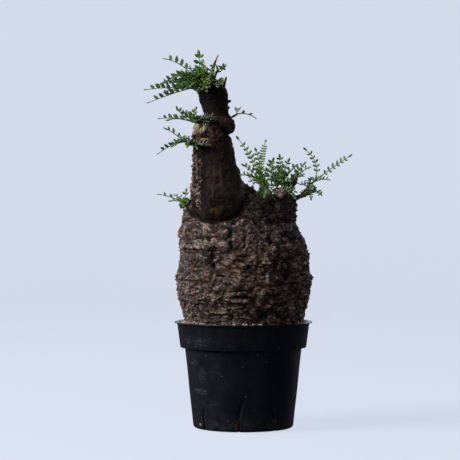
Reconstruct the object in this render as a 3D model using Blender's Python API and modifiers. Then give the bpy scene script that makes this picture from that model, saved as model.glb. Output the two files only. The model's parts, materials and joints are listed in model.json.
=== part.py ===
"""A potted operculicarya: a swollen, corky caudex with its leaning trunk, standing in gritty soil in a
black nursery pot, with sprays of small pinnate leaves on short woody spurs.

Metres, +Z up. The origin is the centre of the pot's flat base, and -Y is the front."""

import math
import random

import bmesh
import bpy
from mathutils import Vector, noise
from mathutils.bvhtree import BVHTree

MM = 0.001
GAP = 0.35 * MM  # left between pieces that touch

# The pot, a thin plastic shell with a deep band under its lip
LIP_RADIUS = 75.0 * MM
LIP_THICKNESS = 1.5 * MM
POT_HEIGHT = 115.0 * MM
BAND_TOP_RADIUS = 72.0 * MM
BAND_FOOT_RADIUS = 68.5 * MM
BAND_FOOT = 87.0 * MM
BODY_TOP_RADIUS = 63.5 * MM
BASE_RADIUS = 54.3 * MM
BASE_CHAMFER = 1.6 * MM
WALL = 1.3 * MM
POT_STEPS = 44
SLITS = 8
SLIT_WIDTH = 3.6 * MM
SLIT_HEIGHT = 14.0 * MM
SLIT_REACH = 9.0 * MM
FIRST_SLIT = math.radians(-95.7)

# The soil, up to just under the lip
SOIL_TOP = 112.0 * MM
SOIL_STEPS = 48
SOIL_ROWS = 2
SOIL_RUBBLE = 1.1 * MM

# The wood: each form is a run of (x, y, z, radius) in millimetres
CAUDEX = [
    (0, 0, 38, 20), (0, 0, 48, 34), (0, 0, 64, 45), (0, 0, 84, 53), (0, 0, 100, 58.5),
    (0, 0, 114, 62.9), (0.2, 0, 122, 64.8), (0.4, 0, 132, 68.2), (0.7, 0, 144, 71.6), (1.2, 0, 158, 72.9),
    (1.1, 0, 172, 72.2), (0, 0, 188, 70.6), (-3, 0, 200, 67.2), (-6.5, 0, 212, 63.4), (-6.4, 0, 222, 60.2),
    (-5.2, 0, 231, 58.4), (-3, 0, 238, 52), (-4, 0, 243, 38), (-6, 0, 247, 22),
]
TRUNK = [
    (-24, 0, 220, 30), (-27, -1, 238, 29.8), (-27.5, -1, 250, 28.8), (-28.2, -1, 264, 27.4),
    (-29.5, -1, 272, 25.8), (-31.3, 0, 288, 23), (-32.8, 0, 301, 21.4), (-34, 0, 311, 20.4),
    (-34, 0, 319, 20.4), (-31.4, 0, 326, 18.4), (-29.6, 0, 333, 15.2), (-29.3, 0, 341, 12.8),
    (-31, 0, 351, 13.9), (-32.4, 0, 358, 15.6), (-33.4, 0, 366, 15.6), (-32.6, 0, 373, 12.4),
    (-30, 0, 377, 7),
]
STUMP = [(38, 2, 222, 19), (43, 2, 238, 15), (46, 1, 249, 11.5), (46, 0, 256, 7.5)]
CUT_STUB = [(43, 2, 246, 5.5), (42, -7, 252, 5), (41.6, -14.5, 256, 4.4)]
HORN = [(47, 0, 231, 9), (58, -1, 246, 5)]
FILLET = [(-9, 3, 262, 8), (3, 6, 254, 9), (16, 8, 246, 9)]
# Knobs, scars and lumps: (x, y, z, radius) of each ball
LUMPS = [
    (-22.2, -2, 327.5, 13.2), (-43, -5, 323.5, 10.4), (5, 9, 245, 14), (14, 16, 240, 11),
    (70, -4, 188, 5), (69, 8, 162, 7), (68, 2, 147, 6), (-68, -4, 163, 6.5), (-66, -3, 210, 6.5),
    (-8, -64, 150, 11), (24, -60, 182, 10), (-38, -54, 190, 10), (40, 52, 176, 11), (-30, 60, 158, 11),
    (-28, -14, 243, 24), (-46, -14, 241, 13),
]
# Twigs too thin for the forms above, added whole
TWIGS = {
    "dry_stalk": [(-33, -4, 374, 1.8), (-32, -4, 387, 1.2), (-29.5, -4, 396, 0.9), (-26.8, -4, 404.7, 0.6)],
    "dry_stalk_side": [(-32, -4, 378, 1.4), (-27.8, -3, 388, 0.9), (-30.4, -3, 395, 0.6)],
    "top_bud": [(-25, -3, 370, 3.2), (-23.5, -4, 379.5, 2.2)],
    "top_spike": [(-22, 0, 369, 2.0), (-18.3, 0, 381, 0.8)],
    "right_spur": [(-20, 0, 353, 2.2), (-13.2, -1, 354.8, 1.1)],
    "right_spur_low": [(-20, 1, 347, 2.2), (-14.6, 0, 347.4, 1.2)],
    "scar_rib": [(-51, -12.6, 311.5, 1.0), (-44, -18.8, 312, 1.3), (-37, -21, 312, 1.0)],
    "stump_twig": [(47, 0, 250, 3.4), (52, 0, 262, 2.2), (57.5, -1, 272.5, 1.5)],
    "outer_twig": [(50, 0, 243, 3.6), (57, -1, 249, 2.6), (68, -2, 253, 2.0), (79.5, -2, 258, 2.1)],
}
VOXEL = 2.4 * MM
WOOD_TRIANGLES = 2700
# The caudex is flatter front to back towards its top
FLAT_FROM = 192.0 * MM
FLAT_TO = 238.0 * MM
FLAT_SHARE = 0.55
CAUDEX_RELIEF = 1.5 * MM
TRUNK_RELIEF = 0.7 * MM
RELIEF_SCALE = 13.0 * MM
NECK_LOW = 228.0 * MM
NECK_HIGH = 246.0 * MM

# Spurs and the pegs that hold the leafy shoots
SPUR_FLARE = 1.4
PEG_RADIUS = 1.0 * MM
PEG_DEPTH = 3.2 * MM
SHOOT_TIP_RADIUS = 0.7 * MM

# Leaves
BLADE = 0.7 * MM
RIB_HALF = 0.5 * MM
NECK_HALF = 0.55 * MM
LEAFLET_STEP = 9.3 * MM
BARE_SHARE = 0.26  # of the rib, with no leaflets
LEAFLET_LEAN = math.radians(58)

# Which way the upper side of a leaf looks
UP, FRONT = (0, 0, 1), (0, -1, 0.2)
TILTED, LEANING = (0, -0.6, 0.8), (0, -0.85, 0.5)

# Each spray: where its spur stands and points, the runs of its shoots, the size of its leaflets, and for
# each leaf its shoot, the place on it (0 to 1), the tip, the bow of the rib, the fold and the way it looks.
SPRAYS = {
    "leaves_crown": dict(
        spur=(-36, -4, 377), out=(-0.3, -0.25, 0.92), reach=2.5, thick=2.6,
        shoots=[
            [(-46, -9, 382), (-56, -10, 381)], [(-44, -13, 379.5), (-54, -16, 366)],
            [(-37, -16, 381), (-29, -20, 376)], [(-31, 5, 386), (-24, 1, 387)],
        ],
        leaflet=(7.4, 4.4),
        leaves=[
            (0, 0.95, (-87.4, -14, 399.5), (3, 0, 7), 62, UP), (0, 0.6, (-49, -12, 409.2), (2, 0, 0), 30, FRONT),
            (0, 0.8, (-67, -22, 396), (0, 0, 4), 30, LEANING), (0, 1.0, (-80, 6, 389), (0, 0, 5), 45, UP),
            (0, 0.5, (-60, 18, 391), (0, 0, 5), 35, UP), (0, 0.4, (-42, -20, 397), (0, 0, 3), 30, LEANING),
            (0, 0.9, (-74, -32, 384), (0, 0, 6), 35, TILTED), (0, 1.0, (-88, -22, 373), (2, 0, 7), 50, TILTED),
            (1, 1.0, (-107.6, -17, 365.3), (0, 0, 4), 55, UP), (1, 0.9, (-104, -23, 350.7), (3, 0, 4), 60, UP),
            (1, 0.8, (-92, -3, 372), (0, 0, 5), 45, UP), (1, 1.0, (-86, -36, 361), (0, 0, 6), 35, TILTED),
            (1, 0.7, (-62, -43, 364), (0, 0, 6), 30, TILTED), (1, 1.0, (-82, 14, 362), (0, 0, 8), 35, UP),
            (1, 0.4, (-70, -32, 375), (0, 0, 6), 35, TILTED),
            (2, 1.0, (-20, -41, 371), (0, 0, 4), 30, LEANING), (2, 0.6, (-42, -45, 370), (0, 0, 7), 30, TILTED),
            (2, 0.9, (-25, -31, 358), (0, -6, 3), 25, FRONT), (2, 0.4, (-52, -40, 382), (0, 0, 5), 30, LEANING),
            (2, 0.7, (-31, -32, 392), (0, 0, 3), 25, LEANING), (2, 0.8, (-43, -33, 358), (0, -6, 3), 25, FRONT),
            (3, 1.0, (-13, -4, 391), (0, 0, 2), 35, LEANING), (3, 0.8, (-20, 28, 390), (0, 0, 6), 35, UP),
            (3, 0.5, (-42, 34, 387), (0, 0, 7), 35, UP), (3, 0.7, (-36, 14, 400), (0, 0, 3), 30, LEANING),
        ],
    ),
    "leaves_upper_left": dict(
        spur=(-49, -6, 328), out=(-0.75, -0.3, 0.6), reach=2.0, thick=2.3,
        shoots=[[(-57, -10, 332)], [(-50, -17, 332)]], leaflet=(6.8, 4.0),
        leaves=[
            (0, 1.0, (-73, -12, 348.5), (-3, 0, -2), 35, LEANING), (0, 0.9, (-93.3, -4, 335), (0, 0, 4), 50, UP),
            (0, 1.0, (-84, -20, 332), (0, 0, 5), 35, TILTED), (0, 0.5, (-50, -11, 348), (-3, 0, 0), 30, FRONT),
            (1, 1.0, (-27, -31, 333), (-3, -8, 4), 25, LEANING), (0, 0.8, (-68, 13, 341), (0, 0, 6), 35, UP),
        ],
    ),
    "leaves_side_bud": dict(
        spur=(-52, -4, 309), out=(-1.0, -0.25, 0.1), reach=6.0, thick=2.9,
        shoots=[[(-65, -8, 310)], [(-58, -17, 308), (-51, -24, 307)]], leaflet=(6.4, 3.8),
        leaves=[
            (0, 1.0, (-87, -10, 325), (0, 0, 4), 45, TILTED), (0, 0.7, (-93.3, -12, 296), (0, 0, 5), 55, UP),
            (1, 1.0, (-34, -34, 305), (-2, -6, 2), 25, LEANING), (0, 0.9, (-78, -26, 303), (0, 0, 5), 35, TILTED),
            (0, 0.8, (-69, 15, 314), (0, 0, 5), 35, UP),
        ],
    ),
    "leaves_collar_left": dict(
        spur=(-57, -10, 236), out=(-0.7, -0.35, 0.65), reach=2.0, thick=2.4,
        shoots=[[(-63, -15, 243)]], leaflet=(5.6, 3.4),
        leaves=[
            (0, 0.9, (-93.3, -15, 253), (0, 0, 4), 50, UP), (0, 1.0, (-81, -25, 245), (0, 0, 4), 35, TILTED),
            (0, 0.7, (-61, -15, 260), (-2, 0, 0), 30, FRONT), (0, 0.9, (-77, 6, 252), (0, 0, 5), 35, UP),
        ],
    ),
    "leaves_knob_right": dict(
        spur=(-14, 5, 336), out=(0.75, 0.3, 0.6), reach=2.0, thick=2.2,
        shoots=[[(-6, 8, 341)]], leaflet=(5.6, 3.2),
        leaves=[(0, 1.0, (14.4, 5, 335.5), (0, 0, 5), 50, UP), (0, 0.8, (-4, 30, 348), (0, 0, 4), 35, UP)],
    ),
    "leaves_shoulder_inner": dict(
        spur=(33, -8, 246), out=(-0.45, -0.35, 0.82), reach=2.5, thick=2.5,
        shoots=[[(24, -14, 261), (18.7, -15, 269.5)], [(34, -18, 258), (37, -25, 262)]], leaflet=(6.2, 3.8),
        leaves=[
            (0, 1.0, (-8.1, -14, 316.2), (8, 0, -4), 25, FRONT), (0, 0.95, (24.5, -17, 312.4), (-4, 0, 0), 20, FRONT),
            (0, 1.0, (12.3, -9, 303.8), (3, 0, 3), 25, FRONT), (0, 0.95, (-2.7, -19, 285.6), (0, 0, 4), 35, LEANING),
            (0, 0.8, (-4.9, -23, 274), (0, 0, 4), 40, TILTED), (0, 0.6, (5, -38, 266), (0, 0, 5), 30, TILTED),
            (0, 0.7, (14, -38, 284), (0, 0, 5), 25, LEANING), (0, 0.8, (33, -17, 293), (2, 0, 2), 25, FRONT),
            (1, 1.0, (24, -48, 268), (0, 0, 5), 30, TILTED), (1, 1.0, (52, -36, 266), (0, 0, 5), 30, TILTED),
            (1, 0.8, (42, -30, 284), (0, 0, 3), 25, LEANING), (0, 0.3, (9, -42, 254), (0, 0, 8), 30, TILTED),
            (1, 0.9, (35, -52, 256), (0, 0, 7), 30, TILTED), (1, 0.6, (58, -32, 254), (0, 0, 7), 30, TILTED),
            (1, 0.7, (48, -52, 250), (0, 0, 8), 30, TILTED), (0, 0.5, (22, -50, 248), (0, 0, 9), 30, TILTED),
        ],
    ),
    "leaves_shoulder_middle": dict(
        spur=(43, 6, 253), out=(0.05, 0.3, 0.95), reach=2.5, thick=2.5,
        shoots=[[(42, 9, 263), (41, 9, 270)], [(50, 13, 264)]], leaflet=(6.2, 3.8),
        leaves=[
            (0, 1.0, (39.4, 3, 297.4), (0, 0, 2), 25, FRONT), (0, 0.9, (27, 5, 291), (0, 0, 3), 25, LEANING),
            (0, 0.8, (60, 3, 286), (0, 0, 4), 30, LEANING), (0, 1.0, (51, 9, 293), (0, 0, 2), 25, FRONT),
            (1, 1.0, (69, 10, 289), (0, 0, 3), 25, LEANING), (0, 0.7, (45, 40, 279), (0, 0, 6), 35, UP),
            (0, 0.6, (22, 28, 280), (0, 0, 6), 35, UP), (1, 1.0, (68, 34, 273), (0, 0, 6), 35, UP),
            (0, 0.5, (22, 12, 273), (0, 0, 5), 30, TILTED),
        ],
    ),
    "leaves_shoulder_outer": dict(
        spur=(66, -2, 254), out=(0.3, -0.1, 0.95), reach=1.0, thick=2.2,
        shoots=[[(72, -3, 263), (77.5, -3, 268)], [(73, -9, 258)]], leaflet=(6.2, 3.6),
        leaves=[
            (0, 1.0, (64.7, -4, 303.8), (15, 0, 3), 25, FRONT), (0, 1.0, (118.2, -6, 296.3), (1, 0, 2), 40, TILTED),
            (0, 0.7, (94, -18, 268), (0, 0, 5), 35, TILTED), (1, 1.0, (88, -18, 254), (0, 0, 4), 35, TILTED),
            (0, 0.7, (88, 16, 270), (0, 0, 6), 35, UP), (1, 0.9, (64, -28, 261), (0, 0, 5), 30, TILTED),
        ],
    ),
}

rng = random.Random(41)


def clear_scene():
    for obj in list(bpy.data.objects):
        bpy.data.objects.remove(obj, do_unlink=True)
    for collection in list(bpy.data.collections):
        bpy.data.collections.remove(collection)


def new_collection(name):
    collection = bpy.data.collections.new(name)
    bpy.context.scene.collection.children.link(collection)
    return collection


def material(name, colour, roughness):
    made = bpy.data.materials.new(name)
    made.use_nodes = True
    shader = made.node_tree.nodes["Principled BSDF"]
    shader.inputs["Base Color"].default_value = (*colour, 1.0)
    shader.inputs["Roughness"].default_value = roughness
    shader.inputs["Metallic"].default_value = 0.0
    return made


def add_object(name, data, collection):
    obj = bpy.data.objects.new(name, data)
    collection.objects.link(obj)
    return obj


def applied(obj):
    """The same object as a plain mesh, with its modifiers or its curve's bevel made real and welded."""
    bpy.context.view_layer.update()
    graph = bpy.context.evaluated_depsgraph_get()
    mesh = bpy.data.meshes.new_from_object(obj.evaluated_get(graph))
    mesh.transform(obj.matrix_world)
    shape = bmesh.new()
    shape.from_mesh(mesh)
    bmesh.ops.remove_doubles(shape, verts=shape.verts, dist=0.001 * MM)
    shape.to_mesh(mesh)
    shape.free()
    name, collection = obj.name, obj.users_collection[0]
    bpy.data.objects.remove(obj, do_unlink=True)
    return add_object(name, mesh, collection)


def boolean(obj, operation, collection, solver="EXACT"):
    """Applies one Boolean of obj with every object of a collection, and removes those objects."""
    modifier = obj.modifiers.new(operation.lower(), "BOOLEAN")
    modifier.operation = operation
    modifier.operand_type = "COLLECTION"
    modifier.collection = collection
    modifier.solver = solver
    made = applied(obj)
    for other in list(collection.objects):
        bpy.data.objects.remove(other, do_unlink=True)
    bpy.data.collections.remove(collection)
    return made


def turned(name, profile, steps, collection):
    """A body turned round Z from a profile of (radius, height) that starts and ends on the axis."""
    mesh = bpy.data.meshes.new(name)
    edges = [(i, i + 1) for i in range(len(profile) - 1)]
    mesh.from_pydata([(radius, 0, height) for radius, height in profile], edges, [])
    obj = add_object(name, mesh, collection)
    screw = obj.modifiers.new("turn", "SCREW")
    screw.axis = "Z"
    screw.steps = steps
    screw.render_steps = steps
    screw.use_merge_vertices = True
    screw.merge_threshold = 0.01 * MM
    return obj


def tube(name, stations, collection, bevel_resolution):
    """A round rod through (point, radius) stations, with closed ends."""
    curve = bpy.data.curves.new(name, "CURVE")
    curve.dimensions = "3D"
    curve.bevel_depth = 1.0
    curve.bevel_resolution = bevel_resolution
    curve.use_fill_caps = True
    spline = curve.splines.new("POLY")
    spline.points.add(len(stations) - 1)
    for point, (place, radius) in zip(spline.points, stations):
        point.co = (*place, 1.0)
        point.radius = radius
    return applied(add_object(name, curve, collection))


def in_metres(run):
    return [(Vector((x, y, z)) * MM, radius * MM) for x, y, z, radius in run]


def share_between(value, low, high):
    """0 below low, 1 above high, and smooth in between."""
    share = min(1.0, max(0.0, (value - low) / (high - low)))
    return share * share * (3 - 2 * share)


# The pot and its soil


def pot_inner_radius(z):
    """Radius of the pot's inner wall at a height."""
    if z > BAND_FOOT + WALL:
        share = (z - BAND_FOOT) / (POT_HEIGHT - BAND_FOOT)
        return BAND_FOOT_RADIUS + share * (BAND_TOP_RADIUS - BAND_FOOT_RADIUS) - WALL
    return BASE_RADIUS + z / BAND_FOOT * (BODY_TOP_RADIUS - BASE_RADIUS) - WALL


def build_pot(collection):
    inner_step = BAND_FOOT + WALL
    profile = [
        (0, WALL),
        (pot_inner_radius(WALL), WALL),
        (pot_inner_radius(inner_step), inner_step),
        (BAND_FOOT_RADIUS - WALL, inner_step + 0.1 * MM),
        (BAND_TOP_RADIUS - WALL, POT_HEIGHT),
        (LIP_RADIUS, POT_HEIGHT),
        (LIP_RADIUS, POT_HEIGHT - LIP_THICKNESS),
        (BAND_TOP_RADIUS, POT_HEIGHT - LIP_THICKNESS),
        (BAND_FOOT_RADIUS, BAND_FOOT),
        (BODY_TOP_RADIUS, BAND_FOOT),
        (BASE_RADIUS, BASE_CHAMFER),
        (BASE_RADIUS - BASE_CHAMFER, 0),
        (0, 0),
    ]
    pot = applied(turned("pot", profile, POT_STEPS, collection))
    cutters = new_collection("slit cutters")
    for slit in range(SLITS):
        angle = FIRST_SLIT + slit * math.tau / SLITS
        bpy.ops.mesh.primitive_cube_add(size=1)
        cutter = bpy.context.object
        cutter.name = f"slit_{slit}"
        cutter.scale = (SLIT_REACH, SLIT_WIDTH, 2 * SLIT_HEIGHT)
        cutter.location = (BASE_RADIUS * math.cos(angle), BASE_RADIUS * math.sin(angle), 0)
        cutter.rotation_euler.z = angle
        for other in cutter.users_collection:
            other.objects.unlink(cutter)
        cutters.objects.link(cutter)
    pot = boolean(pot, "DIFFERENCE", cutters)
    pot.data.shade_smooth()
    pot.data.set_sharp_from_angle(angle=math.radians(30))
    return pot


def caudex_radius(z):
    """Radius of the caudex where it stands in the soil."""
    runs = [(height * MM, radius * MM) for _, _, height, radius in CAUDEX]
    for (low, small), (high, large) in zip(runs, runs[1:]):
        if low <= z <= high:
            return small + (z - low) / (high - low) * (large - small)
    return runs[0][1]


def build_soil(collection):
    """The soil, moulded to the pot, with a plain hole for the caudex and a top of loose grit."""
    hole = [(0, CAUDEX[0][2] * MM - GAP)]
    for _, _, height, radius in CAUDEX:
        if height * MM < SOIL_TOP:
            hole.append((radius * MM + GAP + 0.1 * MM, height * MM - GAP))
    inside, outside = caudex_radius(SOIL_TOP) + GAP + 0.3 * MM, pot_inner_radius(SOIL_TOP) - GAP
    top = [
        (inside + (outside - inside) * row / SOIL_ROWS, SOIL_TOP) for row in range(SOIL_ROWS + 1)
    ]
    step = BAND_FOOT + WALL + GAP
    outer = [
        (BAND_FOOT_RADIUS - WALL - GAP, step + 0.2 * MM),
        (pot_inner_radius(BAND_FOOT) - GAP, step),
        (pot_inner_radius(WALL) - GAP, WALL + GAP),
        (0, WALL + GAP),
    ]
    soil = applied(turned("soil", hole + top + outer, SOIL_STEPS, collection))
    for vertex in soil.data.vertices:
        if abs(vertex.co.z - SOIL_TOP) < 0.01 * MM:
            vertex.co.z += rng.uniform(-1, 1) * SOIL_RUBBLE
    return soil


# The wood


def ball(name, centre, radius, collection, rounds=3):
    shape = bmesh.new()
    bmesh.ops.create_icosphere(shape, subdivisions=rounds, radius=radius)
    mesh = bpy.data.meshes.new(name)
    shape.to_mesh(mesh)
    shape.free()
    mesh.transform(Vector(centre).to_track_quat("Z", "Y").to_matrix().to_4x4())
    for vertex in mesh.vertices:
        vertex.co += Vector(centre)
    return add_object(name, mesh, collection)


def flatten_towards_top(mesh):
    """Takes the round caudex to an oval, flatter front to back towards its top."""
    for vertex in mesh.vertices:
        share = share_between(vertex.co.z, FLAT_FROM, FLAT_TO)
        vertex.co.y *= 1 - (1 - FLAT_SHARE) * share


def bark_relief(mesh):
    """Low corky lumps, drawn out sideways on the caudex and upright on the trunk."""
    mesh.update()
    normals = [vertex.normal.copy() for vertex in mesh.vertices]
    for vertex, normal in zip(mesh.vertices, normals):
        x, y, z = vertex.co / RELIEF_SCALE
        on_trunk = share_between(vertex.co.z, NECK_LOW, NECK_HIGH)
        lumps = noise.noise((x, y, z * 1.7)) + 0.6 * noise.noise((2.1 * x, 2.1 * y, 3.4 * z))
        depth = CAUDEX_RELIEF + (TRUNK_RELIEF - CAUDEX_RELIEF) * on_trunk
        above_soil = share_between(vertex.co.z, SOIL_TOP, SOIL_TOP + 12 * MM)
        vertex.co += normal * (lumps * depth * above_soil)
        if vertex.co.z < SOIL_TOP + 1 * MM:
            reach = math.hypot(vertex.co.x, vertex.co.y)
            most = caudex_radius(vertex.co.z)
            if reach > most:
                vertex.co.x *= most / reach
                vertex.co.y *= most / reach


def build_wood(collection):
    """Caudex, trunk, stump and knobs, run together into one grown body."""
    forms = new_collection("wood forms")
    caudex = tube("caudex", in_metres(CAUDEX), forms, 14)
    flatten_towards_top(caudex.data)
    for name, run in {"trunk": TRUNK, "stump": STUMP, "cut_stub": CUT_STUB, "horn": HORN, "fillet": FILLET}.items():
        tube(name, in_metres(run), forms, 8)
    for number, (x, y, z, radius) in enumerate(LUMPS):
        ball(f"lump_{number}", Vector((x, y, z)) * MM, radius * MM, forms)
    shape = bmesh.new()
    for form in list(forms.objects):
        shape.from_mesh(form.data)
        bpy.data.objects.remove(form, do_unlink=True)
    bpy.data.collections.remove(forms)
    mesh = bpy.data.meshes.new("wood")
    shape.to_mesh(mesh)
    shape.free()
    wood = add_object("wood", mesh, collection)
    remesh = wood.modifiers.new("run together", "REMESH")
    remesh.mode = "VOXEL"
    remesh.voxel_size = VOXEL
    smooth = wood.modifiers.new("soften", "SMOOTH")
    smooth.factor = 0.5
    smooth.iterations = 4
    wood = applied(wood)
    bark_relief(wood.data)
    triangles = sum(len(face.vertices) - 2 for face in wood.data.polygons)
    decimate = wood.modifiers.new("fewer faces", "DECIMATE")
    decimate.ratio = WOOD_TRIANGLES / triangles
    return applied(wood)


# The sprays


def surface_point(tree, near, direction):
    """Where the wood's surface is met on the way in along -direction."""
    start = near + direction * 25 * MM
    hit = tree.ray_cast(start, -direction, 60 * MM)[0]
    return hit if hit is not None else near


def bezier(start, control, end, share):
    return (1 - share) ** 2 * start + 2 * share * (1 - share) * control + share**2 * end


def along(points, share):
    """The point at a share of the length of a run of points."""
    lengths = [(b - a).length for a, b in zip(points, points[1:])]
    left = share * sum(lengths)
    for (a, b), length in zip(zip(points, points[1:]), lengths):
        if left <= length:
            return a.lerp(b, left / length)
        left -= length
    return points[-1].copy()


class Rib:
    """The bowed midrib of a leaf, with the directions across and out of the blade."""

    def __init__(self, start, tip, bow, face):
        self.start, self.tip = start, tip
        self.control = (start + tip) / 2 + bow
        self.face = face
        self.length = sum((self.at(k / 12) - self.at((k + 1) / 12)).length for k in range(12))

    def at(self, share):
        return bezier(self.start, self.control, self.tip, share)

    def frame(self, share):
        """Directions along the rib, across the blade and out of its upper side."""
        ahead = (self.at(min(1, share + 0.02)) - self.at(max(0, share - 0.02))).normalized()
        out = (self.face - self.face.dot(ahead) * ahead).normalized()
        return ahead, ahead.cross(out), out


def leaf_blade(name, rib, leaflet, fold, collection):
    """A pinnate leaf as one thin blade, cut to its rib between leaflets, which fold up on both sides."""
    long, wide = leaflet
    pairs = max(2, round(rib.length * (1 - BARE_SHARE) / LEAFLET_STEP))
    neck = NECK_HALF / rib.length
    stops = [0.0]
    stations = []
    for pair in range(pairs):
        share = BARE_SHARE + (0.93 - BARE_SHARE) * pair / (pairs - 0.2)
        stations.append(share)
        stops += [share - neck, share + neck]
    last = (stations[-1] + 1) / 2
    stops.append(last)
    shape = bmesh.new()
    rows = []
    for share in stops:
        _, side, _ = rib.frame(share)
        centre = rib.at(share)
        rows.append([shape.verts.new(centre + sign * RIB_HALF * side) for sign in (-1, 1)])
    for (a, b), (c, d) in zip(rows, rows[1:]):
        shape.faces.new((a, b, d, c))
    for number, share in enumerate(stations):
        ahead, side, out = rib.frame(share)
        size = 1 - 0.35 * abs(number / max(1, pairs - 1) - 0.45)
        before, after = rows[1 + 2 * number], rows[2 + 2 * number]
        for index, sign in ((0, -1), (1, 1)):
            outward = sign * side * math.cos(fold) + out * math.sin(fold)
            axis = ahead * math.cos(LEAFLET_LEAN) + outward * math.sin(LEAFLET_LEAN)
            edge = ahead * math.sin(LEAFLET_LEAN) - outward * math.cos(LEAFLET_LEAN)
            root = rib.at(share) + sign * RIB_HALF * side
            middle = root + axis * (0.5 * long * size)
            corners = [
                before[index],
                shape.verts.new(middle - edge * (0.5 * wide * size)),
                shape.verts.new(root + axis * (long * size)),
                shape.verts.new(middle + edge * (0.5 * wide * size)),
                after[index],
            ]
            shape.faces.new(corners if sign > 0 else corners[::-1])
    ahead, side, out = rib.frame(1)
    left, right = rows[-1]
    middle = rib.at(last) + ahead * (0.45 * long)
    shape.faces.new(
        (
            left,
            right,
            shape.verts.new(middle + side * 0.45 * wide),
            shape.verts.new(middle + ahead * 0.5 * long),
            shape.verts.new(middle - side * 0.45 * wide),
        )
    )
    bmesh.ops.triangulate(shape, faces=shape.faces)
    mesh = bpy.data.meshes.new(name)
    shape.to_mesh(mesh)
    shape.free()
    blade = add_object(name, mesh, collection)
    thicken = blade.modifiers.new("thickness", "SOLIDIFY")
    thicken.thickness = BLADE
    thicken.offset = 0
    thicken.use_even_offset = False
    return applied(blade)


def build_spray(name, plan, wood_tree, spurs, sockets, collection):
    """One leafy shoot on its peg, and the spur and socket that the wood gets for it."""
    out = Vector(plan["out"]).normalized()
    root = surface_point(wood_tree, Vector(plan["spur"]) * MM, out)
    spur_tip = root + out * plan["reach"] * MM
    tube(
        f"spur_{name}",
        [(root - out * 4 * MM, SPUR_FLARE * plan["thick"] * MM), (spur_tip, plan["thick"] * MM)],
        spurs,
        1,
    )
    tube(
        f"socket_{name}",
        [(spur_tip - out * (PEG_DEPTH + GAP), PEG_RADIUS + GAP), (spur_tip + out * MM, PEG_RADIUS + GAP)],
        sockets,
        1,
    )
    hub = spur_tip + out * 1.5 * MM
    shoot = tube(name, [(spur_tip - out * PEG_DEPTH, PEG_RADIUS), (hub, PEG_RADIUS)], collection, 1)
    growth = new_collection(f"{name} growth")
    ball(f"{name}_hub", hub, 1.3 * PEG_RADIUS, growth, 1)
    runs = [[hub] + [Vector(point) * MM for point in run] for run in plan["shoots"]]
    for number, run in enumerate(runs):
        thinner = (SHOOT_TIP_RADIUS - PEG_RADIUS) / (len(run) - 1)
        tube(
            f"{name}_shoot_{number}",
            [(point, PEG_RADIUS + thinner * place) for place, point in enumerate(run)],
            growth,
            1,
        )
    leaflet = [size * MM for size in plan["leaflet"]]
    for number, (run, place, tip, bow, fold, face) in enumerate(plan["leaves"]):
        rib = Rib(along(runs[run], 0.97 * place), Vector(tip) * MM, Vector(bow) * MM, Vector(face))
        leaf_blade(f"{name}_leaf_{number}", rib, leaflet, math.radians(fold), growth)
    return boolean(shoot, "UNION", growth, "MANIFOLD")


def main():
    clear_scene()
    plant = new_collection("potted operculicarya")
    plastic = material("black plastic", (0.012, 0.013, 0.016), 0.45)
    grit = material("gritty soil", (0.30, 0.22, 0.15), 0.95)
    bark = material("corky bark", (0.10, 0.075, 0.06), 0.9)
    green = material("leaf green", (0.06, 0.16, 0.03), 0.45)
    young = material("young leaf green", (0.25, 0.42, 0.06), 0.45)

    build_pot(plant).data.materials.append(plastic)
    build_soil(plant).data.materials.append(grit)
    twigs = new_collection("twigs")
    for name, run in TWIGS.items():
        tube(name, in_metres(run), twigs, 1)
    wood = boolean(build_wood(plant), "UNION", twigs, "MANIFOLD")
    wood_tree = BVHTree.FromPolygons(
        [vertex.co for vertex in wood.data.vertices],
        [face.vertices for face in wood.data.polygons],
    )
    spurs, sockets = new_collection("spurs"), new_collection("sockets")
    for name, plan in SPRAYS.items():
        spray = build_spray(name, plan, wood_tree, spurs, sockets, plant)
        spray.data.materials.clear()
        spray.data.materials.append(young if name == "leaves_knob_right" else green)
    wood = boolean(wood, "UNION", spurs, "MANIFOLD")
    wood = boolean(wood, "DIFFERENCE", sockets, "MANIFOLD")
    wood.data.materials.clear()
    wood.data.materials.append(bark)


main()
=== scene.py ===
# %% [markdown]
# # A potted operculicarya
#
# This lesson dresses a finished solid model of a small caudiciform tree in its nursery pot: a swollen,
# corky caudex, an upright trunk, bunches of pinnate leaves, grit, and a thin black plastic pot. The solids
# give every place and size. Here each surface gets the form and finish that it has close up.

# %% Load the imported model
import json
import math
import random

import bmesh
import bpy
import numpy as np
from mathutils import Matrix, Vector, noise
from mathutils.bvhtree import BVHTree

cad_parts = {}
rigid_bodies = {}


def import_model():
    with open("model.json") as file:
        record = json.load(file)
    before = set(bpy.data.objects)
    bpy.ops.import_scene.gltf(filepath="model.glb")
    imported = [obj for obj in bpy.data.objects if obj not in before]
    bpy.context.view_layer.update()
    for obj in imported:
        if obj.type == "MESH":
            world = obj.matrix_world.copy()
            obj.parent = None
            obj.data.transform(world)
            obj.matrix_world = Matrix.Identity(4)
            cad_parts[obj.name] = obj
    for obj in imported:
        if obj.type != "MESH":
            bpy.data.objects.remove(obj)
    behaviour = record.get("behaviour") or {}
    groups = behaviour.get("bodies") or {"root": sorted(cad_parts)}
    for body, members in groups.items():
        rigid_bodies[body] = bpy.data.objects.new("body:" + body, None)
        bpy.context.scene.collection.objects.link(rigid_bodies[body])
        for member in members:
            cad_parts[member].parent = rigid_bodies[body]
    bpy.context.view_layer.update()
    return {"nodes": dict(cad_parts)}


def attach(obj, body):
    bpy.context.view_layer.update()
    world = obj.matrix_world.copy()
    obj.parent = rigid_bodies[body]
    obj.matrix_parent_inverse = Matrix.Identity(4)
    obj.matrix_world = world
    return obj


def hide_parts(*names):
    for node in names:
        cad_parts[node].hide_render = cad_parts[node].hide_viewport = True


NOISE_SEED = 17  # without a seed, noise vectors differ at each run
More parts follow.
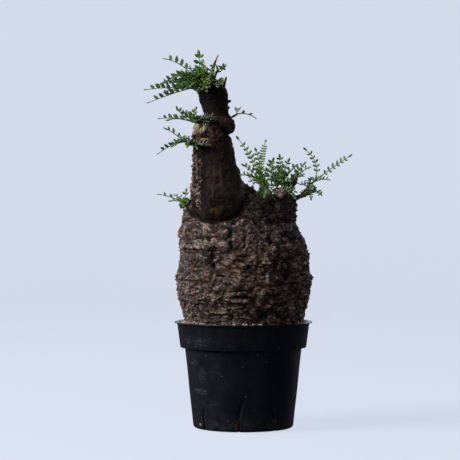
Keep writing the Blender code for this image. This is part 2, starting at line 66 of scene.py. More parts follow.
noise.seed_set(NOISE_SEED)
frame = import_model()
MM = 0.001

# %% [markdown]
# ## The camera
#
# The plant was seen from nearly its own height through a long lens. The ellipses of the pot's lip and base
# tell how high: the horizon runs just above the middle of the picture. The camera comes first, because
# every later piece is seen through it.

# %% Camera
PICTURE_SIDE = 460  # pixels
FOCAL_PIXELS = 1800
METRES_A_PIXEL = 0.0010885  # at the pot's axis
HORIZON_ROW, AXIS_COLUMN, FOOT_ROW = 210, 243.3, 426.8

camera_data = bpy.data.cameras.new("camera")
camera_data.angle = 2 * math.atan(PICTURE_SIDE / 2 / FOCAL_PIXELS)
camera = bpy.data.objects.new("camera", camera_data)
bpy.context.scene.collection.objects.link(camera)
camera.location = (
    (PICTURE_SIDE / 2 - AXIS_COLUMN) * METRES_A_PIXEL,
    -FOCAL_PIXELS * METRES_A_PIXEL,
    (FOOT_ROW - HORIZON_ROW) * METRES_A_PIXEL,
)
tip_down = math.atan((PICTURE_SIDE / 2 - HORIZON_ROW) / FOCAL_PIXELS)
camera.rotation_euler = (math.pi / 2 - tip_down, 0, 0)
bpy.context.scene.camera = camera
print("camera at", [round(value, 3) for value in camera.location])

# %% [markdown]
# ## Shader maths as plain Python
#
# A finish is a sum of masks: grime where a noise is high, dust towards the foot, cracks where the relief
# is low. A small class wraps a socket of a node and adds a Math node for each operator, so a mask reads as
# the expression that it is. One method makes every other kind of node.


# %% Sockets that take part in expressions
class Value:
    """A number or colour in a material, as the socket that gives it."""

    def __init__(self, shader, socket):
        self.shader, self.socket = shader, socket

    def maths(self, operation, *others):
        return self.shader.node("ShaderNodeMath", {"operation": operation}, [self, *others])

    def __add__(self, other):
        return self.maths("ADD", other)

    def __mul__(self, other):
        return self.maths("MULTIPLY", other)

    def __sub__(self, other):
        return self.maths("SUBTRACT", other)

    def __rsub__(self, other):
        return self.shader.node("ShaderNodeMath", {"operation": "SUBTRACT"}, [other, self])

    def __pow__(self, other):
        return self.maths("POWER", other)

    __radd__, __rmul__ = __add__, __mul__

    def between(self, low, high):
        """0 below low, 1 above high, and smooth in between. With low above high it falls."""
        sockets = {"Value": self, "From Min": low, "From Max": high}
        return self.shader.node("ShaderNodeMapRange", {"interpolation_type": "SMOOTHSTEP"}, sockets)


# %% A material that is built up from nodes
class Shader:
    """A Principled material and the nodes that feed it."""

    def __init__(self, name, **plain):
        self.material = bpy.data.materials.new(name)
        self.material.use_nodes = True
        self.tree = self.material.node_tree
        self.surface = self.tree.nodes["Principled BSDF"]
        for socket, value in plain.items():
            self.surface.inputs[socket.replace("_", " ")].default_value = value

    def node(self, kind, settings=None, values=(), output=0):
        """One node: its settings first, then its sockets, by name or in order."""
        made = self.tree.nodes.new(kind)
        for setting, value in (settings or {}).items():
            if setting == "stops":
                self.set_stops(made.color_ramp, value)
            else:
                setattr(made, setting, value)
        pairs = values.items() if isinstance(values, dict) else enumerate(values)
        for key, value in pairs:
            if isinstance(value, Value):
                self.tree.links.new(value.socket, made.inputs[key])
            else:
                made.inputs[key].default_value = value
        return Value(self, made.outputs[output])

    @staticmethod
    def set_stops(ramp, stops):
        while len(ramp.elements) < len(stops):
            ramp.elements.new(1.0)
        for element, (place, colour) in zip(ramp.elements, stops):
            element.position, element.color = place, (*colour, 1.0)

    def place(self):
        """Object coordinates: metres, in the model's frame."""
        return self.node("ShaderNodeTexCoord", output="Object")

    def stored(self, name):
        """A number kept at each point of the mesh."""
        settings = {"attribute_type": "GEOMETRY", "attribute_name": name}
        return self.node("ShaderNodeAttribute", settings, output="Fac")

    def axis(self, letter):
        """One of the object coordinates, by its letter."""
        return self.node("ShaderNodeSeparateXYZ", values=[self.place()], output=letter)

    def stretched(self, x, y, z):
        """The object coordinates, drawn out where a factor is below 1."""
        return self.node("ShaderNodeVectorMath", {"operation": "MULTIPLY"}, [self.place(), (x, y, z)])

    def grain(self, size, detail=4.0, rough=0.55, where=None):
        """Noise from 0 to 1 whose lumps are about size metres across."""
        sockets = {"Scale": 1 / size, "Detail": detail, "Roughness": rough}
        sockets["Vector"] = where or self.place()
        return self.node("ShaderNodeTexNoise", values=sockets, output="Fac")

    def blend(self, share, first, second):
        """first where share is 0 and second where it is 1, as colours."""
        colours = [one if isinstance(one, Value) else (*one, 1.0) for one in (first, second)]
        sockets = {0: share, 6: colours[0], 7: colours[1]}
        return self.node("ShaderNodeMix", {"data_type": "RGBA"}, sockets, output=2)

    def ramp(self, share, *stops):
        return self.node("ShaderNodeValToRGB", {"stops": stops}, {"Fac": share}, output="Color")

    def bump(self, height, distance, strength=1.0):
        """Feeds the normal. height is 0 to 1, and distance is the relief in metres."""
        sockets = {"Height": height, "Distance": distance, "Strength": strength}
        normal = self.node("ShaderNodeBump", values=sockets)
        self.feed("Normal", normal)

    def feed(self, socket, value):
        self.tree.links.new(value.socket, self.surface.inputs[socket])


# %% [markdown]
# ## Making pieces
#
# Every piece is a mesh from lists of points and faces. Two forms cover nearly all of this plant: a body
# turned round the pot's axis, and a rod that follows a run of points, which serves for trunk, twigs,
# shoots and leaf stalks alike.


# %% From points and faces to a piece
def make_mesh(name, points, faces, numbers=None):
    """A mesh with numbers stored at its points for the materials to read."""
    mesh = bpy.data.meshes.new(name)
    mesh.from_pydata([tuple(point) for point in points], [], faces)
    for label, values in (numbers or {}).items():
        store_numbers(mesh, label, values)
    return mesh


def store_numbers(mesh, label, values):
    stored = mesh.attributes.new(label, "FLOAT", "POINT")
    stored.data.foreach_set("value", np.asarray(values, np.float32))


def in_metres(mesh):
    """Takes a mesh from millimetres to metres."""
    mesh.transform([[MM, 0, 0, 0], [0, MM, 0, 0], [0, 0, MM, 0], [0, 0, 0, 1]])
    return mesh


def add_piece(name, mesh, material=None):
    """A mesh as a piece of the scene. With a material it also rides on the model's body."""
    piece = bpy.data.objects.new(name, mesh)
    bpy.context.scene.collection.objects.link(piece)
    mesh.shade_smooth()
    if material:
        mesh.materials.append(material)
        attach(piece, "root")
    return piece


def apply_modifiers(piece):
    """Makes the piece's modifiers real in its mesh."""
    graph = bpy.context.evaluated_depsgraph_get()
    graph.update()
    made = bpy.data.meshes.new_from_object(piece.evaluated_get(graph))
    piece.modifiers.clear()
    piece.data = made


# %% Rods and turned bodies
class Shape:
    """Points and faces that grow as rods and blades are added, with numbers kept for each point."""

    def __init__(self, *labels):
        self.points, self.faces = [], []
        self.numbers = {label: [] for label in labels}

    def add(self, points, faces, **numbers):
        first = len(self.points)
        self.points += points
        self.faces += [tuple(first + corner for corner in face) for face in faces]
        for label, values in self.numbers.items():
            given = numbers.get(label, 0.0)
            values += list(given) if hasattr(given, "__len__") else [given] * len(points)

    def rod(self, centres, radii, sides, **numbers):
        """A round rod through centres, closed by a flat face at each end."""
        points, faces = [], []
        side = None
        for index, (centre, radius) in enumerate(zip(centres, radii)):
            before, after = centres[max(0, index - 1)], centres[min(len(centres) - 1, index + 1)]
            ahead = (after - before).normalized()
            if side is None:
                side = ahead.orthogonal()
            side = (side - side.dot(ahead) * ahead).normalized()
            across = ahead.cross(side)
            for step in range(sides):
                angle = step * math.tau / sides
                points.append(centre + radius * (side * math.cos(angle) + across * math.sin(angle)))
        rings = len(centres)
        for ring in range(rings - 1):
            for step in range(sides):
                a, b = ring * sides + step, ring * sides + (step + 1) % sides
                faces.append((a, b, b + sides, a + sides))
        faces.append(tuple(reversed(range(sides))))
        faces.append(tuple(range((rings - 1) * sides, rings * sides)))
        self.add(points, faces, **numbers)

    def mesh(self, name):
        return make_mesh(name, self.points, self.faces, self.numbers)


def turned(profile, steps):
    """Points and faces of a body turned round Z from (radius, height) pairs that start and end on it."""
    shape = Shape()
    inner = profile[1:-1]
    rings = []
    for radius, height in inner:
        rings.append([])
        for step in range(steps):
            angle = step * math.tau / steps
            rings[-1].append((radius * math.cos(angle), radius * math.sin(angle), height))
    points = [(0, 0, profile[0][1])] + [point for ring in rings for point in ring] + [(0, 0, profile[-1][1])]
    faces = []
    for step in range(steps):
        after = (step + 1) % steps
        faces.append((0, 1 + step, 1 + after))
        for ring in range(len(rings) - 1):
            low = 1 + ring * steps
            faces.append((low + step, low + steps + step, low + steps + after, low + after))
        low = 1 + (len(rings) - 1) * steps
        faces.append((low + step, len(points) - 1, low + after))
    shape.add([Vector(point) for point in points], faces)
    return shape


# %% [markdown]
# ## The pot
#
# A thin-walled nursery pot is moulded in one shot: a narrow rolled lip, a deep band that stiffens it, a
# tapering wall, and drainage slots where the wall meets the base. The outline is turned as a profile, with
# its corners rounded by extra points, and the slots are cut by thin boxes. Above the three front slots the
# wall has creased, so its points are pushed in along slanting lines.

# %% Sizes of the pot
LIP_RADIUS, LIP_THICKNESS, POT_HEIGHT = 75.0, 1.5, 115.0
BAND_TOP_RADIUS, BAND_FOOT_RADIUS, BAND_FOOT = 72.0, 68.5, 87.0
BODY_TOP_RADIUS, BASE_RADIUS, WALL = 63.5, 54.3, 1.3
SLITS, SLIT_WIDTH, SLIT_HEIGHT, SLIT_REACH = 8, 3.6, 14.0, 9.0
FIRST_SLIT = math.radians(-95.7)
POT_STEPS = 320


def rounded(corners, radius, steps=4):
    """The same outline with each inner corner replaced by a short arc."""
    made = [corners[0]]
    for before, corner, after in zip(corners, corners[1:], corners[2:]):
        here = Vector(corner)
        back, on = Vector(before) - here, Vector(after) - here
        reach = min(radius, back.length / 2.01, on.length / 2.01)
        start, end = here + back.normalized() * reach, here + on.normalized() * reach
        for step in range(steps + 1):
            t = step / steps
            made.append(tuple((1 - t) ** 2 * start + 2 * t * (1 - t) * here + t * t * end))
    return made + [corners[-1]]


def wall_radius(z):
    """Outer radius of the tapering wall at a height."""
    return BASE_RADIUS + z / BAND_FOOT * (BODY_TOP_RADIUS - BASE_RADIUS)


# %% Turn the pot
wall_rows = [(wall_radius(z), z) for z in range(4, 84, 2)]
outline = rounded(
    [
        (0, 0), (BASE_RADIUS - 1.6, 0), (BASE_RADIUS, 1.6), *wall_rows, (BODY_TOP_RADIUS, BAND_FOOT),
        (BAND_FOOT_RADIUS, BAND_FOOT), (BAND_TOP_RADIUS, POT_HEIGHT - LIP_THICKNESS),
        (LIP_RADIUS, POT_HEIGHT - LIP_THICKNESS), (LIP_RADIUS, POT_HEIGHT),
        (BAND_TOP_RADIUS - WALL, POT_HEIGHT), (BAND_FOOT_RADIUS - WALL, BAND_FOOT + WALL),
        (BODY_TOP_RADIUS - WALL, BAND_FOOT + WALL), (BASE_RADIUS - WALL, WALL), (0, WALL),
    ],
    0.7,
    3,
)  # fmt: skip
pot_shape = turned(outline, POT_STEPS)
print("pot:", len(pot_shape.points), "points")

# %% Creases over the slots
# Each crease runs from (angle, height) to (angle, height) on the outside of the wall, in degrees and mm.
CREASES = [((-90.5, 37), (-95.7, 14)), ((-59.5, 32), (-53.5, 14)), ((-139, 24), (-140.7, 14))]
CREASE_DEPTH, CREASE_WIDTH = 1.3, 1.5


def crease_depth(point):
    """How far the wall is pushed in at a point, in mm."""
    pushed = 0.0
    angle = math.degrees(math.atan2(point.y, point.x))
    for (top_angle, top), (foot_angle, foot) in CREASES:
        share = (point.z - foot) / (top - foot)
        if 0 <= share <= 1:
            middle = foot_angle + share * (top_angle - foot_angle)
            away = math.radians(angle - middle) * BASE_RADIUS / CREASE_WIDTH
            fading = math.sin(math.pi / 2 * min(1, 1.6 - 1.5 * share))
            pushed += CREASE_DEPTH * math.exp(-away * away) * fading
    return pushed


pot_shape.numbers["crease"] = []
for point in pot_shape.points:
    reach, pushed = math.hypot(point.x, point.y), 0.0
    if 0 < point.z < BAND_FOOT - 1 and reach > BASE_RADIUS - 1.7:
        pushed = crease_depth(point)
        inward = pushed + 0.25 * noise.noise(point / 26)
        point.x -= point.x / reach * inward
        point.y -= point.y / reach * inward
    pot_shape.numbers["crease"].append(pushed / CREASE_DEPTH)
pot_mesh = in_metres(pot_shape.mesh("pot_shell"))

# %% [markdown]
# The finish of the pot is dull black plastic with a cold sheen. Fine pale dust has settled in streaks down
# the wall, watering has left a little brown soil round the slots, and handling has left scratches and small
# chips. The ones that can be told apart are placed one by one, as ovals on the front that hold fine lines.

# %% Finish of the pot
# x, z, half width and half height in mm, and how pale
SCRATCHES = [
    (-46, 95.5, 14, 7.0, 0.6), (-17, 92.3, 5.5, 1.6, 0.8), (-46, 42.2, 11, 5.5, 0.75),
    (-44, 60, 6.0, 13, 0.5), (-30, 64, 9.0, 13, 0.25), (-60, 97, 5.0, 8.0, 0.6), (8, 52, 3.0, 9.0, 0.2),
    (22, 60, 7.0, 2.0, 0.2), (-52, 72, 6.0, 9.0, 0.35), (-20, 50, 9.0, 10, 0.15), (33.6, 21, 1.2, 8.0, 0.9),
    (-31, 28, 8.0, 9.0, 0.2), (-14, 100, 30, 9.0, 0.14), (-40, 30, 14, 12, 0.15),
]  # fmt: skip
CHIPS = [
    (14.9, 83.6, 1.3), (37.8, 89.5, 0.9), (-55.2, 72.2, 1.0), (24.5, 75.2, 0.9), (-0.9, 70.5, 0.8),
    (2.4, 38.3, 1.0), (-36, 100.5, 0.7), (-51, 91, 0.8), (-23, 60, 0.6), (-40, 81.5, 0.7), (12, 24, 0.7),
    (-52.6, 24.5, 0.7),
]  # fmt: skip
plastic = Shader("black_plastic", IOR=1.46, Specular_Tint=(0.72, 0.79, 1.0, 1.0))
height = plastic.axis("Z")
front = plastic.axis("Y").between(0.0, -0.02)


def oval(x, z, wide, high):
    """A soft mask, 1 at the middle of an oval on the front, with sizes in mm."""
    flat = plastic.stretched(1 / (wide * MM), 0.0, 1 / (high * MM))
    middle = (x / wide, 0.0, z / high)
    away = plastic.node("ShaderNodeVectorMath", {"operation": "DISTANCE"}, [flat, middle], output="Value")
    return away.between(1.0, 0.35)


patches = plastic.grain(0.035, 3.0, 0.6).between(0.35, 0.7)
streaks = plastic.grain(0.012, 6.0, 0.75, plastic.stretched(1, 1, 0.10)).between(0.46, 0.70)
specks = plastic.grain(0.0014, 2.0, 0.5).between(0.72, 0.78)
level_lines = plastic.grain(0.0022, 3.0, 0.7, plastic.stretched(0.2, 0.2, 2.0)).between(0.46, 0.70)
upright_lines = plastic.grain(0.0022, 3.0, 0.7, plastic.stretched(2.0, 2.0, 0.2)).between(0.46, 0.70)
worn = 0.04
for x, z, wide, high, pale in SCRATCHES:
    worn = oval(x, z, wide, high) * pale + worn
scratches = (0.7 * level_lines + 0.6 * upright_lines) * worn * front
chips = 0.0
for x, z, size in CHIPS:
    chips = oval(x, z, size, 0.8 * size) + chips
# Pale dust, with about half as much on the body below the band: that darker body is painted shade from the
# band.
dust_and_band_shade = (0.12 * patches + 0.30 * streaks + 0.35 * specks) * (0.24 + 0.26 * height.between(0.085, 0.089))
stain = oval(-5.4, 7, 3.6, 9.5) + oval(34, 7, 4.4, 10.5) + oval(-42.5, 6, 3.0, 8)
foot = height.between(0.026, 0.004)
mud = plastic.grain(0.006, 5.0, 0.7).between(0.38, 0.68) * (0.7 * foot + stain * front)
bare = (0.0042, 0.0044, 0.0060)
dusty_and_band_shade = plastic.blend(dust_and_band_shade + 0.05 * foot, bare, (0.066, 0.070, 0.092))
scuffs = (scratches * 0.8 + chips * front * 0.75).between(0.0, 1.0)
scuffed = plastic.blend(scuffs, dusty_and_band_shade, (0.19, 0.20, 0.24))
mud_colour = plastic.blend(stain, (0.055, 0.045, 0.038), (0.13, 0.070, 0.036))
muddy = plastic.blend((mud * 0.8).between(0.0, 1.0), scuffed, mud_colour)
grain_in_slot = plastic.blend(oval(-46.4, 5.8, 1.1, 1.9) * front, muddy, (0.50, 0.47, 0.38))
# Painted shade: the colour goes nearly black down the pushed-in creases.
crease_painted_shade = plastic.blend(plastic.stored("crease") * 0.85, grain_in_slot, (0.002, 0.002, 0.002))
plastic.feed("Base Color", crease_painted_shade)
plastic.feed("Roughness", 0.38 + 0.08 * patches + 0.25 * dust_and_band_shade + 0.3 * mud + 0.3 * scratches)
plastic.bump(plastic.grain(0.0009, 2.0) * 0.4 - scratches * 0.8, 0.00015)

# %% The pot with its slots
pot = add_piece("nursery_pot", pot_mesh, plastic.material)
slots = bpy.data.collections.new("slot cutters")
for slit in range(SLITS):
    angle = FIRST_SLIT + slit * math.tau / SLITS
    cutter_shape = bmesh.new()
    bmesh.ops.create_cube(cutter_shape, size=1.0)
    cutter_mesh = bpy.data.meshes.new("slot_cutter")
    cutter_shape.to_mesh(cutter_mesh)
    cutter_shape.free()
    cutter = bpy.data.objects.new("slot_cutter", cutter_mesh)
    cutter.scale = (SLIT_REACH * MM, SLIT_WIDTH * MM, 2 * SLIT_HEIGHT * MM)
    cutter.location = (BASE_RADIUS * MM * math.cos(angle), BASE_RADIUS * MM * math.sin(angle), 0)
    cutter.rotation_euler.z = angle
    slots.objects.link(cutter)
bpy.context.scene.collection.children.link(slots)
cut = pot.modifiers.new("slots", "BOOLEAN")
cut.operation, cut.operand_type, cut.collection, cut.solver = "DIFFERENCE", "COLLECTION", slots, "EXACT"
apply_modifiers(pot)
for cutter in list(slots.objects):
    bpy.data.objects.remove(cutter, do_unlink=True)
bpy.data.collections.remove(slots)
pot.data.shade_smooth()
pot.data.set_sharp_from_angle(angle=math.radians(38))
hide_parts("pot")
print("pot:", len(pot.data.polygons), "faces")

# %% [markdown]
# ## The soil
#
# The grit is a mix of baked clay and pumice grains, two to five millimetres across, in cream, tan and
# brown. Only a narrow ring of it shows, between the caudex and the lip, and a little through the slots.
# A dark rough body fills the pot, and loose grains are strewn over the ring, each one a lump with dented
# sides and a colour of its own.

# %% Body of the soil
SOIL_TOP = 112.2
GRAIN_RING = (62.6, 69.6)  # inner and outer radius, mm
soil_outline = [
    (0, 2.2), (51.0, 2.2), (51.6, 3.0), *[(wall_radius(z) - WALL - 0.8, z) for z in range(6, 84, 4)],
    (61.5, 88.5), (66.4, 89.5), (69.6, 108.0), (69.6, SOIL_TOP), (66.0, SOIL_TOP), (60.0, SOIL_TOP),
    (56.0, 106.0), (0, 106.0),
]  # fmt: skip
soil_shape = turned(soil_outline, 160)
for point in soil_shape.points:
    if point.z > 3:
        rough = 0.45 * noise.noise(point / 2.2) + 0.5 * noise.noise(point / 6.0)
        point.z += rough * (point.z > 105)
        point.xy *= 1 + 0.006 * (rough - 0.6) * (point.z < 105)
    point *= MM

# %% Loose grains on it
GRAINS, GRIT_SEED = 950, 8
HEAPS = [(270, 16, 3.0), (205, 22, 3.4)]  # angle and spread in degrees, and rise in mm
dice = random.Random(GRIT_SEED)


def lump_of_grit(centre, size):
    """A rounded lump with dented sides, as points and faces."""
    shape = bmesh.new()
    bmesh.ops.create_icosphere(shape, subdivisions=2, radius=1.0)
    turn = Vector([dice.gauss(0, 1) for _ in range(3)]).to_track_quat("Z", "X")
    flat = Vector((1.0, dice.uniform(0.65, 0.95), dice.uniform(0.55, 0.85)))
    seed = Vector([dice.uniform(0, 90) for _ in range(3)])
    points = []
    for vertex in shape.verts:
        swell = 1 + 0.34 * noise.noise(vertex.co * 1.1 + seed) + 0.16 * noise.noise(vertex.co * 3 + seed)
        here = vertex.co * swell * size / 2
        points.append(centre + turn @ Vector(here[i] * flat[i] for i in range(3)))
    faces = [[vertex.index for vertex in face.verts] for face in shape.faces]
    shape.free()
    return points, faces


grit_shape = Shape("tone")
for _ in range(GRAINS):
    angle = dice.uniform(0, math.tau)
    size = 1.7 + 3.4 * dice.random() ** 2.2
    low, high = GRAIN_RING[0] + 0.2 * size, GRAIN_RING[1] - 0.5 * size
    reach = low + (high - low) * dice.random()
    heap = 1.6 + noise.noise((4 * math.cos(angle), 4 * math.sin(angle), 0))
    for middle, spread, more in HEAPS:
        heap += more * math.exp(-(((math.degrees(angle) - middle) / spread) ** 2))
    rise = SOIL_TOP - 0.1 * size + heap * dice.random() * (1 - (reach - low) / 9)
    centre = Vector((reach * math.cos(angle), reach * math.sin(angle), rise))
    points, faces = lump_of_grit(centre * MM, size * MM)
    grit_shape.add(points, faces, tone=dice.random())
print("grit:", GRAINS, "grains")

# %% Finish of the grit
grit = Shader("grit", Roughness=0.92)
tone = grit.stored("tone")
speckle = grit.grain(0.0011, 4.0, 0.7)
grain_colour = grit.ramp(
    tone,
    (0.0, (0.20, 0.11, 0.06)), (0.2, (0.45, 0.27, 0.18)), (0.45, (0.74, 0.57, 0.42)),
    (0.8, (0.90, 0.80, 0.66)), (1.0, (0.62, 0.42, 0.36)),
)  # fmt: skip
grit.feed("Base Color", grit.blend(speckle.between(0.3, 0.75) * 0.5, grain_colour, (0.10, 0.06, 0.035)))
grit.bump(speckle, 0.0004)
add_piece("grit_grains", grit_shape.mesh("grit_grains"), grit.material)

earth = Shader("packed_earth", Roughness=0.96)
crumbs = earth.grain(0.0022, 5.0, 0.7)
earth.feed("Base Color", earth.ramp(crumbs, (0.35, (0.045, 0.026, 0.014)), (0.65, (0.22, 0.14, 0.08))))
earth.bump(crumbs, 0.0012)
soil = add_piece("soil_body", soil_shape.mesh("soil_body"), earth.material)
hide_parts("soil")

# %% [markdown]
# ## The wood
#
# Caudex, trunk, knob and stumps grew as one body, so they are made as one. Each form is a run of rings,
# given as x, y, z and radius in millimetres. They are laid through each other, and a voxel remesh draws a
# single even skin over them, fine enough to carve the bark into.

# %% Forms of the wood
CAUDEX = [
    (0, 0, 96, 57), (0, 0, 104, 59.7), (0, 0, 114, 62.9), (0.2, 0, 122, 64.8), (0.4, 0, 132, 68.2),
    (0.5, 0, 144, 71.4), (0.6, 0, 158, 72.3), (0.2, 0, 172, 71.4), (-1.2, 0, 188, 69.4), (-4.6, 0, 200, 65.8),
    (-8.3, 0, 212, 61.6), (-8.6, 0, 222, 57.6), (-7.6, 0, 231, 55.6), (-5, 0, 238, 49.5), (-5, 0, 243, 37),
    (-6, 0, 247, 22),
]  # fmt: skip
TRUNK = [
    (-24, 0, 220, 30), (-27, -1, 238, 29.8), (-27.5, -1, 250, 28.8), (-28.2, -1, 264, 27.4),
    (-29.5, -1, 272, 25.8), (-31.3, 0, 288, 23), (-32.8, 0, 301, 21.4), (-34, 0, 311, 20.4),
    (-34, 0, 319, 20.4), (-31.4, 0, 326, 18.4), (-29.6, 0, 333, 15.2), (-29.3, 0, 341, 12.8),
    (-31, 0, 351, 13.9), (-32.4, 0, 358, 15.6), (-33.4, 0, 366, 15.6), (-32.6, 0, 373, 12.4),
    (-30, 0, 377, 7),
]  # fmt: skip
STUMP = [(38, 2, 222, 19), (43, 2, 238, 15), (46, 1, 249, 11.5), (46, 0, 256, 7.5)]
CUT_STUB = [(43, 2, 245, 6.2), (41, -8, 251, 6.2), (38.4, -14.6, 255.5, 5.8)]
HORN = [(43, 0, 231, 9), (52, -1, 243, 5)]
FILLET = [(-9, 3, 262, 8), (3, 6, 254, 9), (16, 8, 246, 9)]
LUMPS = [
    (-22.9, -2, 327.3, 14.0), (-43, -5, 323.5, 10.4), (5, 9, 245, 14), (14, 16, 240, 11),
    (66.5, -4, 188, 5), (68, 8, 162, 7), (68, 2, 147, 6), (-68, -4, 163, 6.5), (-64.5, -3, 210, 6.5),
    (-8, -64, 150, 11), (24, -60, 182, 10), (-38, -54, 190, 10), (40, 52, 176, 11), (-30, 60, 158, 11),
    (28, 4, 243, 9.5), (-27, -17.5, 241.5, 24.8), (-45, -15, 240, 13.5),
]  # fmt: skip
FLAT_FROM, FLAT_TO, FLAT_SHARE = 192.0, 238.0, 0.55
SKIN_VOXEL = 0.95
KEPT_FACES = 196000  # triangles, once it is carved


def share_between(value, low, high):
    """0 below low, 1 above high, and smooth in between."""
    share = min(1.0, max(0.0, (value - low) / (high - low)))
    return share * share * (3 - 2 * share)


# %% Lay the forms through each other
forms = Shape()
for run in (CAUDEX, TRUNK, STUMP, CUT_STUB, HORN, FILLET):
    part = Shape()
    part.rod([Vector(station[:3]) for station in run], [station[3] for station in run], 64)
    if run is CAUDEX:
        for point in part.points:
            point.y *= 1 - (1 - FLAT_SHARE) * share_between(point.z, FLAT_FROM, FLAT_TO)
    forms.add(part.points, part.faces)
for x, y, z, radius in LUMPS:
    shape = bmesh.new()
    bmesh.ops.create_icosphere(shape, subdivisions=4, radius=radius)
    points = [vertex.co + Vector((x, y, z)) for vertex in shape.verts]
    forms.add(points, [[vertex.index for vertex in face.verts] for face in shape.faces])
    shape.free()
wood = add_piece("wood_body", forms.mesh("wood_body"))
skin = wood.modifiers.new("one skin", "REMESH")
skin.mode, skin.voxel_size = "VOXEL", SKIN_VOXEL
soften = wood.modifiers.new("soften", "SMOOTH")
soften.factor, soften.iterations = 0.5, 8
apply_modifiers(wood)
print("wood:", len(wood.data.vertices), "points")

# %% [markdown]
# ## The bark
#
# The caudex wears thick cork that has wrinkled and cracked sideways as it swelled. Taking the absolute
# value of a noise gives just that: it is zero along winding lines, the cracks, and swells between them.
# Drawn out sideways and laid over itself at three sizes, it makes folds, wrinkles and crumbs. Ledges,
# higher at their lower edge, add the overlap of old layers. The trunk is tighter and smoother, with level
# folds under the knob, faint rings above it, and a flaking strip down its left side.


# %% Wrinkles
def wrinkles(point, wide, high, seed):
    """0 in a crack and 1 on the swelling between cracks, for wrinkles about wide long and high apart."""
    where = Vector((point.x / wide + seed, point.y / wide - seed, point.z / high + seed))
    return min(1.0, abs(noise.noise(where)) / 0.21) ** 0.55


CORK_MEAN = 4.7  # of what corky gives, in mm


def cords(point, wide, high, seed):
    """1 on the crest of a winding cord, and 0 away from it."""
    where = Vector((point.x / wide - seed, point.y / wide + seed, point.z / high + seed))
    return 1 - min(1.0, abs(noise.noise(where)) / 0.30)


def corky(point):
    """Height of the caudex's bark in mm, and how deep in a crack the point is, 0 to 1."""
    bent = point + 6.0 * noise.noise_vector(point / 26) + 2.2 * noise.noise_vector(point / 8)
    folds = wrinkles(bent, 18.0, 6.8, 1.0)
    lines = wrinkles(bent, 7.0, 2.7, 5.0)
    upright = wrinkles(bent, 8.0, 26.0, 11.0)
    winding = cords(bent, 8.5, 3.1, 7.0)
    crumbs = wrinkles(point + 1.5 * noise.noise_vector(point / 4), 3.6, 2.2, 9.0)
    knobbly = share_between(noise.noise(point / 24 + Vector((9, 2, 4))), -0.15, 0.3)
    ledge = 1 - (bent.z / 6.4 + 1.5 * noise.noise(point / 15)) % 1.0
    ledge = min(1.0, 5.0 * (1 - ledge)) * ledge
    height = 1.9 * folds + 1.5 * lines + 1.2 * winding + 0.7 * upright + 0.9 * crumbs
    height += ledge * (1 - 0.6 * knobbly) + 1.7 * noise.noise(point / 6.0) * knobbly
    height += 0.6 * noise.noise(point / 2.0)
    crack = max(1 - folds, (1 - 0.6 * winding) * (1 - lines), 0.7 * (1 - upright), 0.5 * (1 - crumbs))
    return height, crack
